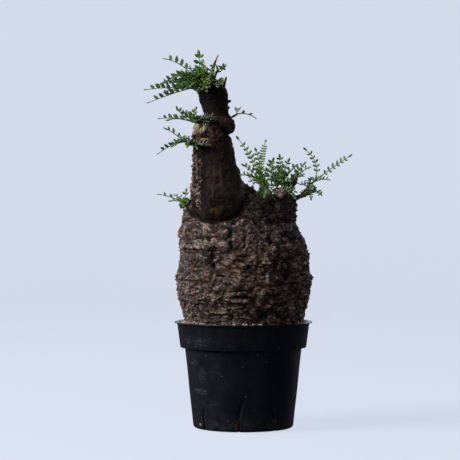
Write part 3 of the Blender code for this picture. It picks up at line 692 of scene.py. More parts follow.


# %% [markdown]
# Some features of the bark can be told apart one by one: a thick level roll high on the left, a group of
# pale knobs in the middle, dark hollows, and stacked lips below. Each is an oval on the front, with a
# height and a tint. A dark tint is painted shade, in the hollows, cracks and creases and over the top
# right of the caudex, where trunk and leaves shade it.

# %% Single features of the bark
# x, z, half width, half height, raised mm, and tint from -1, dark as painted shade, to 1, tan
# Negative tints paint shade into the carved hollows, cracks and creases, and under the trunk's bulge. (31,
# 229) paints the shade of trunk and leaves over the top right, and (38, 150) and (30, 126) only darken the
# colour.
MARKS = [
    (-56, 197.6, 17, 3.2, 1.5, -0.05), (-34, 201.0, 19, 3.2, 1.5, 0.0), (-42, 193.6, 22, 1.2, -1.8, -0.9),
    (-36, 207.0, 22, 1.1, -1.6, -0.7), (-46, 199.4, 26, 0.6, -0.7, -0.5), (31, 229, 38, 22, 0, -0.4),
    (-41.5, 286, 3.0, 15, -1.0, -0.9), (-42.5, 256, 3.2, 17, -1.0, -0.9), (-48, 224, 6.0, 1.0, -0.9, -0.7),
    (38, 150, 12, 30, 0, -0.3), (30, 126, 26, 5.0, 0, -0.35), (-14, 212, 3.0, 7.0, -1.2, -0.7),
    (-62, 160, 6.0, 1.0, -1.2, -0.7), (-45, 160, 3.0, 1.0, -1.2, -0.8), (-57, 182, 9.0, 1.0, -1.2, -0.7),
    (-33, 188, 1.6, 4.0, -0.9, -0.6), (14, 196, 1.6, 5.0, -0.7, -0.4), (-24, 166, 5.0, 1.1, -1.3, -0.8),
    (-13.7, 200, 1.8, 4.5, -2.2, -0.9), (-9.8, 186, 3.6, 2.9, 1.9, 0.9), (10, 186.5, 5.6, 4.4, 2.0, 0.6),
    (-14, 180.5, 4.2, 3.2, 1.4, 0.6), (-1.2, 177, 2.8, 3.0, 1.4, 0.7), (6.2, 176, 3.4, 2.6, -2.0, -1.0),
    (-3.4, 164, 4.6, 6.5, 1.7, 0.8), (24.5, 163, 2.4, 8.0, 2.0, 0.6), (19, 147, 4.0, 3.6, 1.4, 0.5),
    (-6, 147, 11, 1.9, 1.7, 0.3), (-5, 150.6, 12, 0.9, -1.8, -1.0), (-5, 143.4, 10, 0.8, -1.4, -0.9),
    (-4, 140.2, 10, 1.7, 1.5, 0.5), (-6, 137, 11, 0.8, -1.4, -0.8), (-15, 142, 2.5, 1.6, 0.9, 0.6),
    (-40, 216.5, 5.2, 3.4, 1.6, 0.6), (-45, 222.5, 4.0, 2.2, 1.0, 0.5), (-31.6, 177, 2.2, 4.0, -1.4, -0.9),
    (43, 133, 11, 1.6, 1.3, 0.5), (-55, 150, 7.0, 2.0, 1.2, 0.3), (-25, 128, 10, 1.5, 1.2, 0.3),
    (-29, 244.0, 8.0, 1.3, -1.4, -0.75), (-22, 241.8, 7.0, 1.1, -1.3, -0.7),
    (-30, 239.0, 6.0, 1.1, -1.2, -0.7), (-25, 248.6, 6.0, 1.0, -1.0, -0.6), (-33, 256, 1.8, 8.0, 0.8, 0.3),
    (-24, 270, 1.6, 9.0, 0.8, 0.25), (-47.8, 320, 1.3, 5.5, -1.8, -0.75),
    (-43.2, 318.5, 1.2, 5.0, -1.8, -0.7), (-38.6, 319, 1.2, 5.0, -1.6, -0.7),
    (-51.3, 316, 1.1, 5.0, -1.4, -0.4), (-45.5, 327.5, 3.0, 1.1, -1.2, -0.4),
    (-29, 234.6, 7.5, 3.2, 0.5, 0.9), (-22, 262, 3.0, 10.0, 0.3, 0.4), (-30, 281, 3.0, 12.0, 0.3, 0.35),
    (-50, 172, 9.0, 1.2, -1.2, -0.7), (0, 206, 3.0, 10.0, -0.7, -0.35), (38, 205, 10, 1.5, 1.0, 0.1),
    (-48, 136, 9.0, 1.1, -1.3, -0.8), (32, 178, 2.0, 6.0, -1.2, -0.8), (52, 158, 8.0, 1.2, -1.2, -0.8),
]  # fmt: skip


def marked(point, normal):
    """Height and tint that the single features give to a point on the front; a dark tint is painted shade."""
    height = tint = 0.0
    facing = share_between(-normal.y, 0.0, 0.35)
    if facing:
        wander = 1.4 * noise.noise_vector(point / 5) + 1.6 * noise.noise_vector(point / 13)
        for x, z, wide, high, raised, colour in MARKS:
            across, up = (point.x + wander.x - x) / wide, (point.z + wander.z - z) / high
            away = across * across + up * up
            if away < 3:
                near = facing * math.exp(-away * away)
                height += 1.35 * raised * near
                tint += colour * near
    return height, max(-1.0, min(1.0, tint))


# %% Bark of the trunk
# Heights in mm between which a zone comes in or goes out.
FLAKES_FOOT, FLAKES_TOP = (246, 238), (306, 294)
FOLDS_FOOT, FOLDS_TOP = (303, 309), (334, 322)
ABOVE_KNOB = (330, 342)


def trunk_bark(point, normal, on_lump, on_knob):
    """Height of the trunk's bark in mm, its cracks, and how much it flakes and how warm it is, 0 to 1."""
    bent = point + 3.0 * noise.noise_vector(point / 13)
    furrows = wrinkles(bent, 6.0, 19.0, 3.0)
    height = 0.9 * furrows - 0.5 + 0.4 * noise.noise(point / 2.4) + 1.3 * noise.noise(point / 9)
    crack = 0.5 * (1 - furrows)
    left = share_between(-normal.x - 0.3 * noise.noise(point / 5), 0.56, 0.84)
    left *= share_between(point.z, *FLAKES_TOP)
    left *= 1 - 0.7 * share_between(point.z, *FLAKES_FOOT) * share_between(-normal.x, 0.9, 0.75)
    scales = wrinkles(point + 1.8 * noise.noise_vector(point / 4), 3.0, 4.2, 6.0)
    height += left * (2.2 * scales + 2.4 * noise.noise(point / 3.4) - 1.2)
    crack = max(crack, left * (1 - scales))
    folds = share_between(point.z, *FOLDS_FOOT) * share_between(point.z, *FOLDS_TOP)
    folds *= (1 - 0.8 * on_knob) * (1 - 0.7 * on_lump)
    layers = wrinkles(point + 2.8 * noise.noise_vector(point / 6), 12.0, 4.2, 8.0) ** 1.5
    height += folds * (2.8 * layers - 1.6 + 1.3 * noise.noise(point / 3.2))
    crack = max(crack, folds * (1 - layers))
    split = wrinkles(point + 1.6 * noise.noise_vector(point / 4), 3.0, 7.5, 12.0)
    height += on_lump * (2.0 * (split - 0.8) + 1.6 * noise.noise(point / 2.8))
    crack = max(crack, on_lump * min(1.0, 1.7 * (1 - split)))
    above = share_between(point.z, *ABOVE_KNOB)
    rings = wrinkles(bent, 14.0, 2.8, 4.0)
    height = height * (1 - 0.7 * above) * (1 - 0.5 * on_knob) + 0.6 * above * rings
    lines = wrinkles(bent + Vector((0, 0, 0.25 * point.x)), 18.0, 4.4, 14.0)
    height -= 1.0 * on_knob * (1 - lines)
    crack = max(crack * (1 - above), 0.5 * above * (1 - rings), 0.95 * on_knob * (1 - lines))
    return height, crack, left, folds * layers * share_between(point.x, -18, -34)


# %% [markdown]
# Where two forms meet, the real bark has a deep seam: under the bulge at the foot of the trunk, and
# round the knob. The seam is carved in and painted dark as shade. A point lies near such a seam when it
# is close to the surface of both forms at once.


# %% Seams between the forms
def run_clearance(point, run, flat=1.0):
    """Distance in mm from a point to the surface of an upright run of rings, less than 0 inside it."""
    height = min(max(point.z, run[0][2]), run[-1][2])
    for (x0, y0, z0, r0), (x1, y1, z1, r1) in zip(run, run[1:]):
        if z0 <= height <= z1:
            share = (height - z0) / (z1 - z0)
            x, y, radius = x0 + share * (x1 - x0), y0 + share * (y1 - y0), r0 + share * (r1 - r0)
            reach = math.hypot(point.x - x, (point.y - y) / flat) - radius
            return max(reach, abs(point.z - height))
    return 99.0


def ball_clearance(point, lump):
    return (point - Vector(lump[:3])).length - lump[3]


BULGE = LUMPS[-2:]
KNOB, LEFT_LUMP = LUMPS[0], LUMPS[1]


def seam(point):
    """How near a seam the point is, 0 to 1."""
    flat = 1 - (1 - FLAT_SHARE) * share_between(point.z, FLAT_FROM, FLAT_TO)
    near = 99.0
    if 215 < point.z < 262 and point.x < 6:
        foot = min(run_clearance(point, TRUNK), *(ball_clearance(point, lump) for lump in BULGE))
        near = max(abs(run_clearance(point, CAUDEX, flat)), abs(foot)) / 4.2
    elif 305 < point.z < 345:
        near = max(abs(run_clearance(point, TRUNK)), abs(ball_clearance(point, KNOB))) / 2.2
        near += 2 * share_between(point.z, 322, 328)
    return math.exp(-near * near)


# %% Carve it
NECK_LOW, NECK_HIGH = 231.0, 240.0  # where the cork gives way to the trunk's bark, mm
SEAM_DEPTH = 2.4
SADDLE, CUT_FACE = Vector((5, -2, 256)), Vector((38.0, -16, 256.3))
wood_mesh = wood.data
labels = ("crack", "raised", "trunk", "flaking", "fresh_cut", "tint", "lump", "knob", "groove", "broad")
told = {label: [] for label in labels}
for vertex in wood_mesh.vertices:
    here, normal = vertex.co, vertex.normal
    waved = here.z + 6.0 * noise.noise(here / 9)
    on_trunk = share_between(waved, NECK_LOW, NECK_HIGH) * share_between(here.x, 6, -6)
    if min(ball_clearance(here, lump) for lump in BULGE) < 2.5 and here.z > 218:
        on_trunk = 1.0
    ragged = 3.0 * noise.noise(here / 4.5)
    on_lump = share_between(ball_clearance(here, LEFT_LUMP) + ragged, 4.5, 1.0)
    on_lump *= share_between(here.z + ragged, 316, 321) * share_between(-normal.y, -0.5, 0.1)
    on_knob = share_between(ball_clearance(here, KNOB), 2.5, 0.5) * share_between(here.x, -32, -26)
    saddle = share_between((here - SADDLE).length, 19, 11)
    on_trunk *= 1 - saddle
    broad = noise.noise((here.x / 13, here.y / 13, here.z * 1.7 / 13))
    broad += 0.6 * noise.noise((here.x * 2.1 / 13, here.y * 2.1 / 13, here.z * 3.4 / 13))
    cork, crack = corky(here)
    bark, trunk_crack, flaking, warm = trunk_bark(here, normal, on_lump, on_knob)
    mark, tint = marked(here, normal)
    groove = seam(here)
    cut_near = share_between((here - CUT_FACE).length + 3.0 * noise.noise(here / 3.0), 8.5, 6.5)
    cut_near *= share_between(-normal.y, 0.25, 0.5)
    height = cork - CORK_MEAN + 2.4 * saddle * noise.noise(here / 4)
    told["raised"].append((height + (bark - height) * on_trunk + mark) * (1 - 0.9 * cut_near))
    # On the saddle the painted crack shade is halved, and below, its tint goes to pale tan: partly its own
    # pale bark, partly painted light from behind it.
    crack *= 1 - 0.5 * saddle
    # Nearness to a seam joins the cracks, so the seams get the painted shade of the cracks.
    told["crack"].append(max(crack + (trunk_crack - crack) * on_trunk, groove) * (1 - cut_near))
    told["trunk"].append(on_trunk)
    told["flaking"].append(flaking * on_trunk)
    told["fresh_cut"].append(cut_near)
    tint = min(1.0, tint + 0.75 * warm * on_trunk)
    told["tint"].append(tint + (0.9 - tint) * saddle)
    told["lump"].append(on_lump)
    told["knob"].append(on_knob)
    told["groove"].append(groove)
    told["broad"].append(broad * (1.5 - 0.8 * on_trunk))
told = {label: np.array(values) for label, values in told.items()}
rises = told["raised"] + told["broad"] - SEAM_DEPTH * told["groove"]
moved = [vertex.co + vertex.normal * rise for vertex, rise in zip(wood_mesh.vertices, rises)]
for vertex, place in zip(wood_mesh.vertices, moved):
    vertex.co = place * MM
for label, values in told.items():
    store_numbers(wood_mesh, label, values)
for zone, inside in (("caudex", told["trunk"] < 0.5), ("trunk", told["trunk"] >= 0.5)):
    relief = told["raised"][inside]
    print(zone, "relief in mm: mean", relief.mean().round(2), "spread", relief.std().round(2))
thinner = wood.modifiers.new("fewer faces where it is smooth", "DECIMATE")
thinner.ratio = KEPT_FACES / (2 * len(wood_mesh.polygons))
apply_modifiers(wood)
wood_mesh = wood.data
wood_mesh.shade_smooth()
print("wood:", sum(len(face.vertices) - 2 for face in wood_mesh.polygons), "triangles")

# %% [markdown]
# The cork is brown, grey in patches that grow denser towards the left, and orange-brown where it has split
# open. The trunk is a darker red-brown, with pale tan flakes. The relief stored at each point tells the
# material which is which, and its colour ramps paint highlights on high bark and shade in low bark.

# %% Finish of the bark
bark = Shader("corky_bark", Specular_IOR_Level=0.3)
crack, raised, on_trunk, tint = [bark.stored(name) for name in ("crack", "raised", "trunk", "tint")]
patch = bark.grain(0.009, 4.0, 0.65)
fleck = bark.grain(0.0022, 4.0, 0.7)
fine = bark.grain(0.0008, 3.0, 0.7)
hairs = bark.grain(0.0040, 2.0, 0.5, bark.stretched(0.7, 0.7, 1.9)) - 0.5
hair_cracks = hairs.maths("ABSOLUTE").between(0.07, 0.0)
side, height = bark.axis("X"), bark.axis("Z")
# The grey patches grow denser towards the left side.
greyer_to_left = side.between(0.015, -0.055)
# Painted light: raised bark comes out lighter and low bark darker in the ramps below, as highlights and
# shade, on top of the fleck's own tone.
relief = raised * 0.17 + 0.5 + (fleck - 0.5) * 1.1
cork_colour = bark.ramp(
    relief,
    (0.19, (0.028, 0.017, 0.012)), (0.44, (0.104, 0.065, 0.047)), (0.67, (0.268, 0.177, 0.137)),
    (0.87, (0.76, 0.58, 0.48)),
)  # fmt: skip
grey_colour = bark.ramp(
    relief, (0.15, (0.038, 0.033, 0.033)), (0.5, (0.15, 0.132, 0.132)), (0.9, (0.46, 0.41, 0.40)),
)  # fmt: skip
cork_colour = bark.blend(patch.between(0.49, 0.61) * (0.22 + 0.6 * greyer_to_left), cork_colour, grey_colour)
rust = bark.grain(0.013, 3.0, 0.6, bark.stretched(1, 1, 1.3)).between(0.54, 0.66)
rusty = bark.ramp(fleck, (0.35, (0.11, 0.040, 0.022)), (0.62, (0.34, 0.155, 0.085)))
split_open = side.between(-0.026, -0.006) * side.between(0.036, 0.016)
split_open = split_open * height.between(0.125, 0.148) * height.between(0.206, 0.188)
cork_colour = bark.blend(rust * 0.6 + 0.25 * split_open, cork_colour, rusty)
tan = bark.ramp(fleck, (0.35, (0.20, 0.115, 0.08)), (0.65, (0.56, 0.38, 0.28)))
cork_colour = bark.blend(tint.between(0.1, 1.0) * 0.7, cork_colour, tan)
# Painted shade: over the top right, the relief's highlights give way to a dim even brown where the trunk and
# leaves shade it.
painted_shade_top_right = side.between(-0.006, 0.020) * height.between(0.186, 0.228)
cork_colour = bark.blend(painted_shade_top_right * 0.6, cork_colour, (0.115, 0.101, 0.088))
# Painted shade in the fine hair cracks, which the bump also cuts in.
cork_colour = bark.blend(hair_cracks * 0.75, cork_colour, (0.022, 0.014, 0.011))

# %% Finish of the trunk
# As on the cork, raised bark is painted lighter and low bark darker, as highlights and shade, here and in the
# flake and lump ramps below.
trunk_colour = bark.ramp(
    raised * 0.25 + 0.5 + (fleck - 0.5) * 0.9,
    (0.2, (0.006, 0.003, 0.0022)), (0.5, (0.018, 0.0092, 0.0065)), (0.85, (0.068, 0.037, 0.026)),
)  # fmt: skip
trunk_colour = bark.blend(patch.between(0.5, 0.62) * 0.45, trunk_colour, (0.040, 0.017, 0.011))
lighter = bark.ramp(fleck, (0.35, (0.030, 0.018, 0.014)), (0.65, (0.11, 0.070, 0.052)))
trunk_colour = bark.blend(side.between(-0.034, -0.006) * 0.7, trunk_colour, lighter)
warm_colour = bark.ramp(fleck, (0.35, (0.07, 0.026, 0.016)), (0.62, (0.21, 0.105, 0.072)))
trunk_colour = bark.blend(tint.between(0.1, 1.0) * 0.75, trunk_colour, warm_colour)
flakes = bark.grain(0.0030, 3.0, 0.75, bark.stretched(1.15, 1.15, 0.75))
flake_colour = bark.ramp(
    flakes + raised * 0.05,
    (0.44, (0.007, 0.0035, 0.0028)), (0.51, (0.045, 0.021, 0.015)), (0.57, (0.165, 0.090, 0.066)),
    (0.67, (0.66, 0.51, 0.43)),
)  # fmt: skip
trunk_colour = bark.blend(bark.stored("flaking") * patch.between(0.34, 0.44), trunk_colour, flake_colour)
pale_lump = bark.ramp(
    fleck + raised * 0.10,
    (0.26, (0.06, 0.030, 0.018)), (0.40, (0.32, 0.18, 0.115)), (0.55, (0.86, 0.68, 0.48)),
)  # fmt: skip
trunk_colour = bark.blend(bark.stored("lump") * 0.9, trunk_colour, pale_lump)
knob_colour = bark.blend(patch.between(0.4, 0.6), (0.055, 0.030, 0.021), (0.13, 0.080, 0.055))
trunk_colour = bark.blend(bark.stored("knob") * 0.8, trunk_colour, knob_colour)
# Painted highlights: pale flecks along the right edge of the dark neck above the knob.
neck_painted_glints = fleck.between(0.58, 0.7) * side.between(-0.030, -0.018) * 0.8
neck = bark.blend(neck_painted_glints, (0.014, 0.0095, 0.0092), (0.22, 0.16, 0.13))
trunk_colour = bark.blend(height.between(0.332, 0.343) * 0.85, trunk_colour, neck)

# %% Cracks, cut wood and relief
colour = bark.blend(on_trunk, cork_colour, trunk_colour)
# Painted shade: cracks, seams and dark tints go nearly black.
painted_shade_mask = crack**1.15 + tint.between(-0.1, -0.9) * 0.85
colour = bark.blend(painted_shade_mask.between(0.0, 1.0), colour, (0.010, 0.0065, 0.005))
# Pale cut wood, whitened past its own colour as painted light, since leaves shade the cut face.
cut_wood_and_painted_light = bark.ramp(fleck, (0.40, (0.10, 0.055, 0.045)), (0.49, (0.98, 0.74, 0.65)))
colour = bark.blend(bark.stored("fresh_cut"), colour, cut_wood_and_painted_light)
bark.feed("Base Color", colour)
bark.feed("Roughness", 0.62 + 0.3 * on_trunk)
bark.bump(fleck * 0.55 + fine * 0.35 - hair_cracks * 0.5, 0.0011, 0.9)
wood_mesh.materials.append(bark.material)
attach(wood, "root")
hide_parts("wood")

# %% [markdown]
# ## Twigs, spurs and the dry stalk
#
# Thin wood can't come out of a coarse skin, so it is added as rods: a dry stalk at the crown, a split
# sliver under the knob, twigs on the right shoulder, and the short spurs that the leafy shoots stand on.
# Each rod is wrinkled by noise and knotted where leaves have fallen.

# %% Runs of the twigs
TWIGS = {
    "dry stalk": [
        (-33, -4, 374, 1.6), (-33, -4, 384, 1.0), (-32.6, -4, 389, 1.6), (-31.8, -4, 394, 1.3),
        (-29.5, -4, 399, 0.7), (-27, -4, 404.7, 0.4),
    ],
    "side stalk": [(-32, -4, 378, 1.4), (-27.8, -3, 388, 0.9), (-30.4, -3, 395, 0.5)],
    "top bud": [(-25, -3, 370, 3.2), (-23.5, -4, 379.5, 2.2)],
    "top spike": [(-22, 0, 369, 2.0), (-18.3, 0, 381, 0.8)],
    "right spur": [(-20, 0, 353, 2.2), (-13.2, -1, 354.8, 1.1)],
    "low right spur": [(-20, 1, 347, 2.2), (-14.6, 0, 347.4, 1.2)],
    "sliver": [(-51, -12.6, 311.5, 1.0), (-44, -18.8, 312, 1.3), (-37, -21, 312, 1.0)],
    "stump twig": [(47, 0, 250, 4.0), (52, -1, 261, 3.0), (55, -2, 266, 3.0), (58.5, -2, 271, 1.6)],
    "bare shoot": [(35, -13, 246, 0.9), (29, -30, 254, 0.8), (15, -42, 267, 0.6)],
    "outer twig": [(50, 0, 243, 3.6), (57, -1, 249, 2.6), (68, -2, 253, 2.0), (79.5, -2, 258, 2.1)],
}  # fmt: skip
PALE_TWIGS = {"sliver": 1.0, "top bud": 0.35}
STRAW_TWIGS = {"bare shoot": 1.0}


def finer(run, step=1.0):
    """The same run with a station about every step millimetres."""
    made = []
    for start, end in zip(run, run[1:]):
        count = max(1, round((Vector(end[:3]) - Vector(start[:3])).length / step))
        made += [tuple(a + (b - a) * k / count for a, b in zip(start, end)) for k in range(count)]
    return made + [run[-1]]


def gnarled_rod(shape, run, roughness=0.22, **numbers):
    """A rod with swollen nodes and a wrinkled surface."""
    stations = finer(run)
    radii = []
    for index, (x, y, z, radius) in enumerate(stations):
        node = math.exp(-(((index % 7) - 3) / 1.1) ** 2)
        end = 0.55 if index in (0, len(stations) - 1) else 1.0
        radii.append(radius * end * (1 + 0.18 * node))
    first = len(shape.points)
    shape.rod([Vector(station[:3]) for station in stations], radii, 14, **numbers)
    for index in range(first, len(shape.points)):
        shape.points[index] += roughness * noise.noise_vector(shape.points[index] / 1.6)


twig_shape = Shape("pale", "straw")
for name, run in TWIGS.items():
    gnarled_rod(twig_shape, run, pale=PALE_TWIGS.get(name, 0.0), straw=STRAW_TWIGS.get(name, 0.0))
print("twigs:", len(TWIGS))

# %% [markdown]
# ## The sprays
#
# The leaves are pinnate: small oval leaflets stand in pairs along a thin stalk and fold upwards, with one
# at the tip. Each bunch has a few woody shoots that start at a hub on a spur, and every leaf is placed by
# its tip. A leaf needs the shoot that it stands on, its place there from 0 to 1, its tip, the bow of its
# stalk, the fold of its leaflets and the way it faces. The solid model has the same shoots. Most leaves
# follow a plain one of the solids, and some were moved or added where the real bunch is fuller.

# %% Which way a leaf faces
UP, FRONT = (0, 0, 1), (0, -1, 0.2)
TILTED, LEANING = (0, -0.6, 0.8), (0, -0.85, 0.5)

# %% The runs of every spray
# Leaves that differ from the rest of their spray are named by their number: young ones are lime, dim ones
# are painted dark as deep shade, dense ones have closer and smaller pairs, and lean is the leaflets' angle
# in degrees.
SPRAYS = {
    "leaves_crown": dict(
        spur=(-36, -4, 377), out=(-0.3, -0.25, 0.92), reach=2.5, thick=2.6,
        shoots=[
            [(-46, -9, 382), (-56, -10, 381)], [(-44, -13, 379.5), (-54, -16, 366)],
            [(-37, -16, 381), (-29, -20, 376)], [(-31, 5, 386), (-24, 1, 387)],
        ],
        leaflet=(7.4, 4.4),
        leaves=[
            (0, 0.95, (-87.4, -14, 399.5), (3, 0, 7), 76, UP),
            (0, 0.6, (-49, -12, 409.2), (2, 0, 0), 30, FRONT),
            (0, 0.8, (-60, -22, 388), (0, 0, 4), 30, LEANING), (0, 1.0, (-80, 6, 379), (0, 0, 5), 45, UP),
            (0, 0.5, (-58, 18, 388), (0, 0, 5), 35, UP), (0, 0.4, (-42, -20, 395), (0, 0, 3), 30, LEANING),
            (0, 0.9, (-76, -32, 376), (0, 0, 6), 35, TILTED),
            (0, 1.0, (-88, -22, 372), (2, 0, 7), 50, TILTED),
            (1, 1.0, (-107.6, -17, 365.3), (0, 0, 4), 60, UP),
            (1, 0.9, (-104, -23, 350.7), (3, 0, 3), 72, UP),
            (1, 0.8, (-92, -3, 372), (0, 0, 5), 45, UP), (1, 1.0, (-86, -36, 361), (0, 0, 6), 35, TILTED),
            (1, 0.7, (-62, -43, 364), (0, 0, 6), 30, TILTED), (1, 1.0, (-82, 14, 362), (0, 0, 8), 35, UP),
            (1, 0.4, (-70, -32, 375), (0, 0, 6), 35, TILTED),
            (2, 1.0, (-22, -41, 369), (0, 0, 2), 20, LEANING),
            (2, 0.6, (-42, -45, 370), (0, 0, 7), 30, TILTED),
            (2, 0.9, (-27, -36, 366), (0, -6, 0), 25, LEANING),
            (2, 0.4, (-52, -40, 382), (0, 0, 5), 30, LEANING),
            (2, 0.7, (-31, -32, 392), (0, 0, 3), 25, LEANING),
            (2, 0.8, (-45, -36, 363), (0, -6, 3), 25, LEANING),
            (3, 1.0, (-20, -4, 389.5), (0, 0, 2), 50, LEANING), (3, 0.8, (-20, 28, 390), (0, 0, 6), 35, UP),
            (3, 0.5, (-42, 34, 387), (0, 0, 7), 35, UP), (0, 0.7, (-48, 16, 393), (0, 0, 3), 30, LEANING),
            (1, 0.6, (-49, -33, 360), (0, -5, 3), 25, LEANING),
            (1, 0.5, (-39, -36, 361), (0, -5, 3), 25, LEANING),
        ],
        young={15: 0.4, 16: 0.4, 17: 0.4, 18: 0.5, 19: 0.6, 20: 0.5},
        dim={15: 0.5, 16: 0.3, 17: 0.55, 20: 0.45, 25: 0.3, 26: 0.5},
    ),
    "leaves_upper_left": dict(
        spur=(-49, -6, 328), out=(-0.75, -0.3, 0.6), reach=2.0, thick=2.3,
        shoots=[[(-57, -10, 332)], [(-50, -17, 332)]], leaflet=(6.2, 3.7),
        young={3: 0.8}, dim={0: 0.4, 4: 0.95}, dense={4: 0.75},
        leaves=[
            (0, 1.0, (-73, -12, 348.5), (-3, 0, -2), 60, TILTED),
            (0, 0.9, (-93.3, -4, 335), (0, 0, 4), 60, UP),
            (0, 1.0, (-84, -20, 332), (0, 0, 5), 35, TILTED),
            (0, 0.5, (-50, -11, 348), (-3, 0, 0), 30, FRONT),
            (1, 1.0, (-28, -31, 335), (-3, -8, 4), 25, LEANING), (0, 0.8, (-68, 13, 341), (0, 0, 6), 35, UP),
        ],
    ),
    "leaves_side_bud": dict(
        spur=(-52, -4, 309), out=(-1.0, -0.25, 0.1), reach=6.0, thick=2.9,
        shoots=[[(-65, -8, 310)], [(-58, -17, 308), (-51, -24, 307)]], leaflet=(6.0, 3.7),
        dim={2: 0.9}, dense={2: 0.7},
        leaves=[
            (0, 1.0, (-87, -10, 325), (0, 0, 4), 45, TILTED), (0, 0.7, (-93.3, -12, 296), (0, 0, 5), 55, UP),
            (1, 1.0, (-34, -34, 305), (-2, -6, 2), 25, LEANING),
            (0, 0.9, (-78, -26, 303), (0, 0, 5), 35, TILTED),
            (0, 0.8, (-69, 15, 314), (0, 0, 5), 35, UP),
        ],
    ),
    "leaves_collar_left": dict(
        spur=(-57, -10, 236), out=(-0.7, -0.35, 0.65), reach=2.0, thick=2.4,
        shoots=[[(-63, -15, 243)]], leaflet=(5.6, 3.4), young={0: 0.6, 1: 0.7, 2: 0.5, 3: 0.4},
        leaves=[
            (0, 0.9, (-93.3, -15, 253), (0, 0, 4), 50, UP), (0, 1.0, (-81, -25, 245), (0, 0, 4), 35, TILTED),
            (0, 0.7, (-61, -15, 260), (-2, 0, 0), 30, FRONT), (0, 0.9, (-77, 6, 252), (0, 0, 5), 35, UP),
        ],
    ),
    "leaves_knob_right": dict(
        spur=(-14, 5, 336), out=(0.75, 0.3, 0.6), reach=2.0, thick=2.2,
        shoots=[[(-6, 8, 341)]], leaflet=(5.6, 3.2), young={0: 0.3, 1: 0.3},
        leaves=[(0, 1.0, (14.4, 5, 335.5), (0, 0, 5), 50, UP), (0, 0.8, (-4, 30, 348), (0, 0, 4), 35, UP)],
    ),
    "leaves_shoulder_inner": dict(
        spur=(33, -8, 246), out=(-0.45, -0.35, 0.82), reach=2.5, thick=2.5,
        shoots=[[(24, -14, 261), (18.7, -15, 269.5)], [(34, -18, 258), (37, -25, 262)]], leaflet=(5.5, 3.3),
        step=6.0, stems=0.9, young={0: 0.3, 1: 1.0, 2: 0.6, 3: 0.1}, dense={1: 0.56}, lean={1: 70},
        leaves=[
            (0, 1.0, (-8.1, -14, 316.2), (8, 0, -4), 25, FRONT),
            (0, 0.95, (24.5, -17, 312.4), (-4, 0, 0), 8, FRONT),
            (0, 1.0, (12.3, -9, 303.8), (3, 0, 3), 25, FRONT),
            (0, 0.95, (-2.7, -19, 285.6), (0, 0, 4), 35, LEANING),
            (0, 0.8, (-4.9, -23, 274), (0, 0, 4), 40, TILTED), (0, 0.6, (5, -38, 266), (0, 0, 5), 30, TILTED),
            (0, 0.7, (14, -38, 284), (0, 0, 5), 25, LEANING), (0, 0.8, (33, -17, 293), (2, 0, 2), 25, FRONT),
            (1, 1.0, (24, -48, 268), (0, 0, 5), 30, TILTED), (1, 1.0, (52, -36, 266), (0, 0, 5), 30, TILTED),
            (1, 0.8, (42, -30, 284), (0, 0, 3), 25, LEANING), (0, 0.3, (33, -36, 253), (0, 0, 8), 30, TILTED),
            (1, 0.6, (58, -32, 254), (0, 0, 7), 30, TILTED), (1, 0.7, (56, -46, 247), (0, 0, 8), 30, TILTED),
            (0, 0.5, (22, -50, 248), (0, 0, 9), 30, TILTED),
        ],
    ),
    "leaves_shoulder_middle": dict(
        spur=(43, 6, 253), out=(0.05, 0.3, 0.95), reach=2.5, thick=2.5,
        shoots=[[(42, 9, 263), (41, 9, 270)], [(50, 13, 264)]], leaflet=(5.5, 3.3), step=6.0,
        young={0: 0.4}, stems=0.8,
        leaves=[
            (0, 1.0, (39.4, 3, 297.4), (0, 0, 2), 25, FRONT), (0, 0.9, (27, 5, 291), (0, 0, 3), 25, LEANING),
            (0, 0.8, (60, 3, 286), (0, 0, 4), 30, LEANING), (0, 1.0, (51, 9, 293), (0, 0, 2), 25, FRONT),
            (1, 1.0, (69, 10, 289), (0, 0, 3), 25, LEANING), (0, 0.7, (45, 40, 279), (0, 0, 6), 35, UP),
            (0, 0.6, (22, 28, 280), (0, 0, 6), 35, UP), (1, 1.0, (68, 34, 273), (0, 0, 6), 35, UP),
            (0, 0.5, (22, 12, 273), (0, 0, 5), 30, TILTED), (1, 1.0, (74, 0, 283), (0, 0, 6), 30, LEANING),
            (1, 0.7, (67, -8, 275), (0, 0, 5), 30, LEANING),
        ],
    ),
    "leaves_shoulder_outer": dict(
        spur=(66, -2, 254), out=(0.3, -0.1, 0.95), reach=1.0, thick=2.2,
        shoots=[[(72, -3, 263), (77.5, -3, 268)], [(73, -9, 258)]], leaflet=(5.4, 3.0), step=5.9,
        stems=0.9, young={1: 0.1}, dim={2: 0.4, 3: 0.5, 5: 0.5, 6: 0.4, 7: 0.5},
        dense={2: 0.8, 3: 0.75, 5: 0.8, 6: 0.75, 7: 0.7},
        leaves=[
            (0, 1.0, (64.7, -4, 303.8), (15, 0, 3), 25, FRONT),
            (0, 1.0, (118.2, -6, 296.3), (1, 0, 2), 8, (0.1, -0.72, 0.69)),
            (0, 0.7, (94, -18, 268), (0, 0, 5), 35, TILTED), (1, 1.0, (85, -14, 251), (3, 0, 3), 25, FRONT),
            (0, 0.7, (88, 16, 270), (0, 0, 6), 35, UP), (1, 0.9, (60, -26, 263), (0, 0, 5), 25, LEANING),
            (1, 0.7, (60, -22, 248), (0, 0, 3), 25, LEANING),
            (1, 0.8, (73, -24, 246), (0, 0, 3), 25, LEANING),
        ],
    ),
}  # fmt: skip
print("sprays:", {name: len(plan["leaves"]) for name, plan in SPRAYS.items()})

# %% [markdown]
# ## One leaflet
#
# A leaflet is a closed body as thin as paper: rings of eight points follow its oval outline, five on the
# upper skin and three on the lower one. Its halves lift a little from a sunk midrib and its tip droops, so
# it catches the light as a real one does. Flat ovals would flash all at once or not at all.

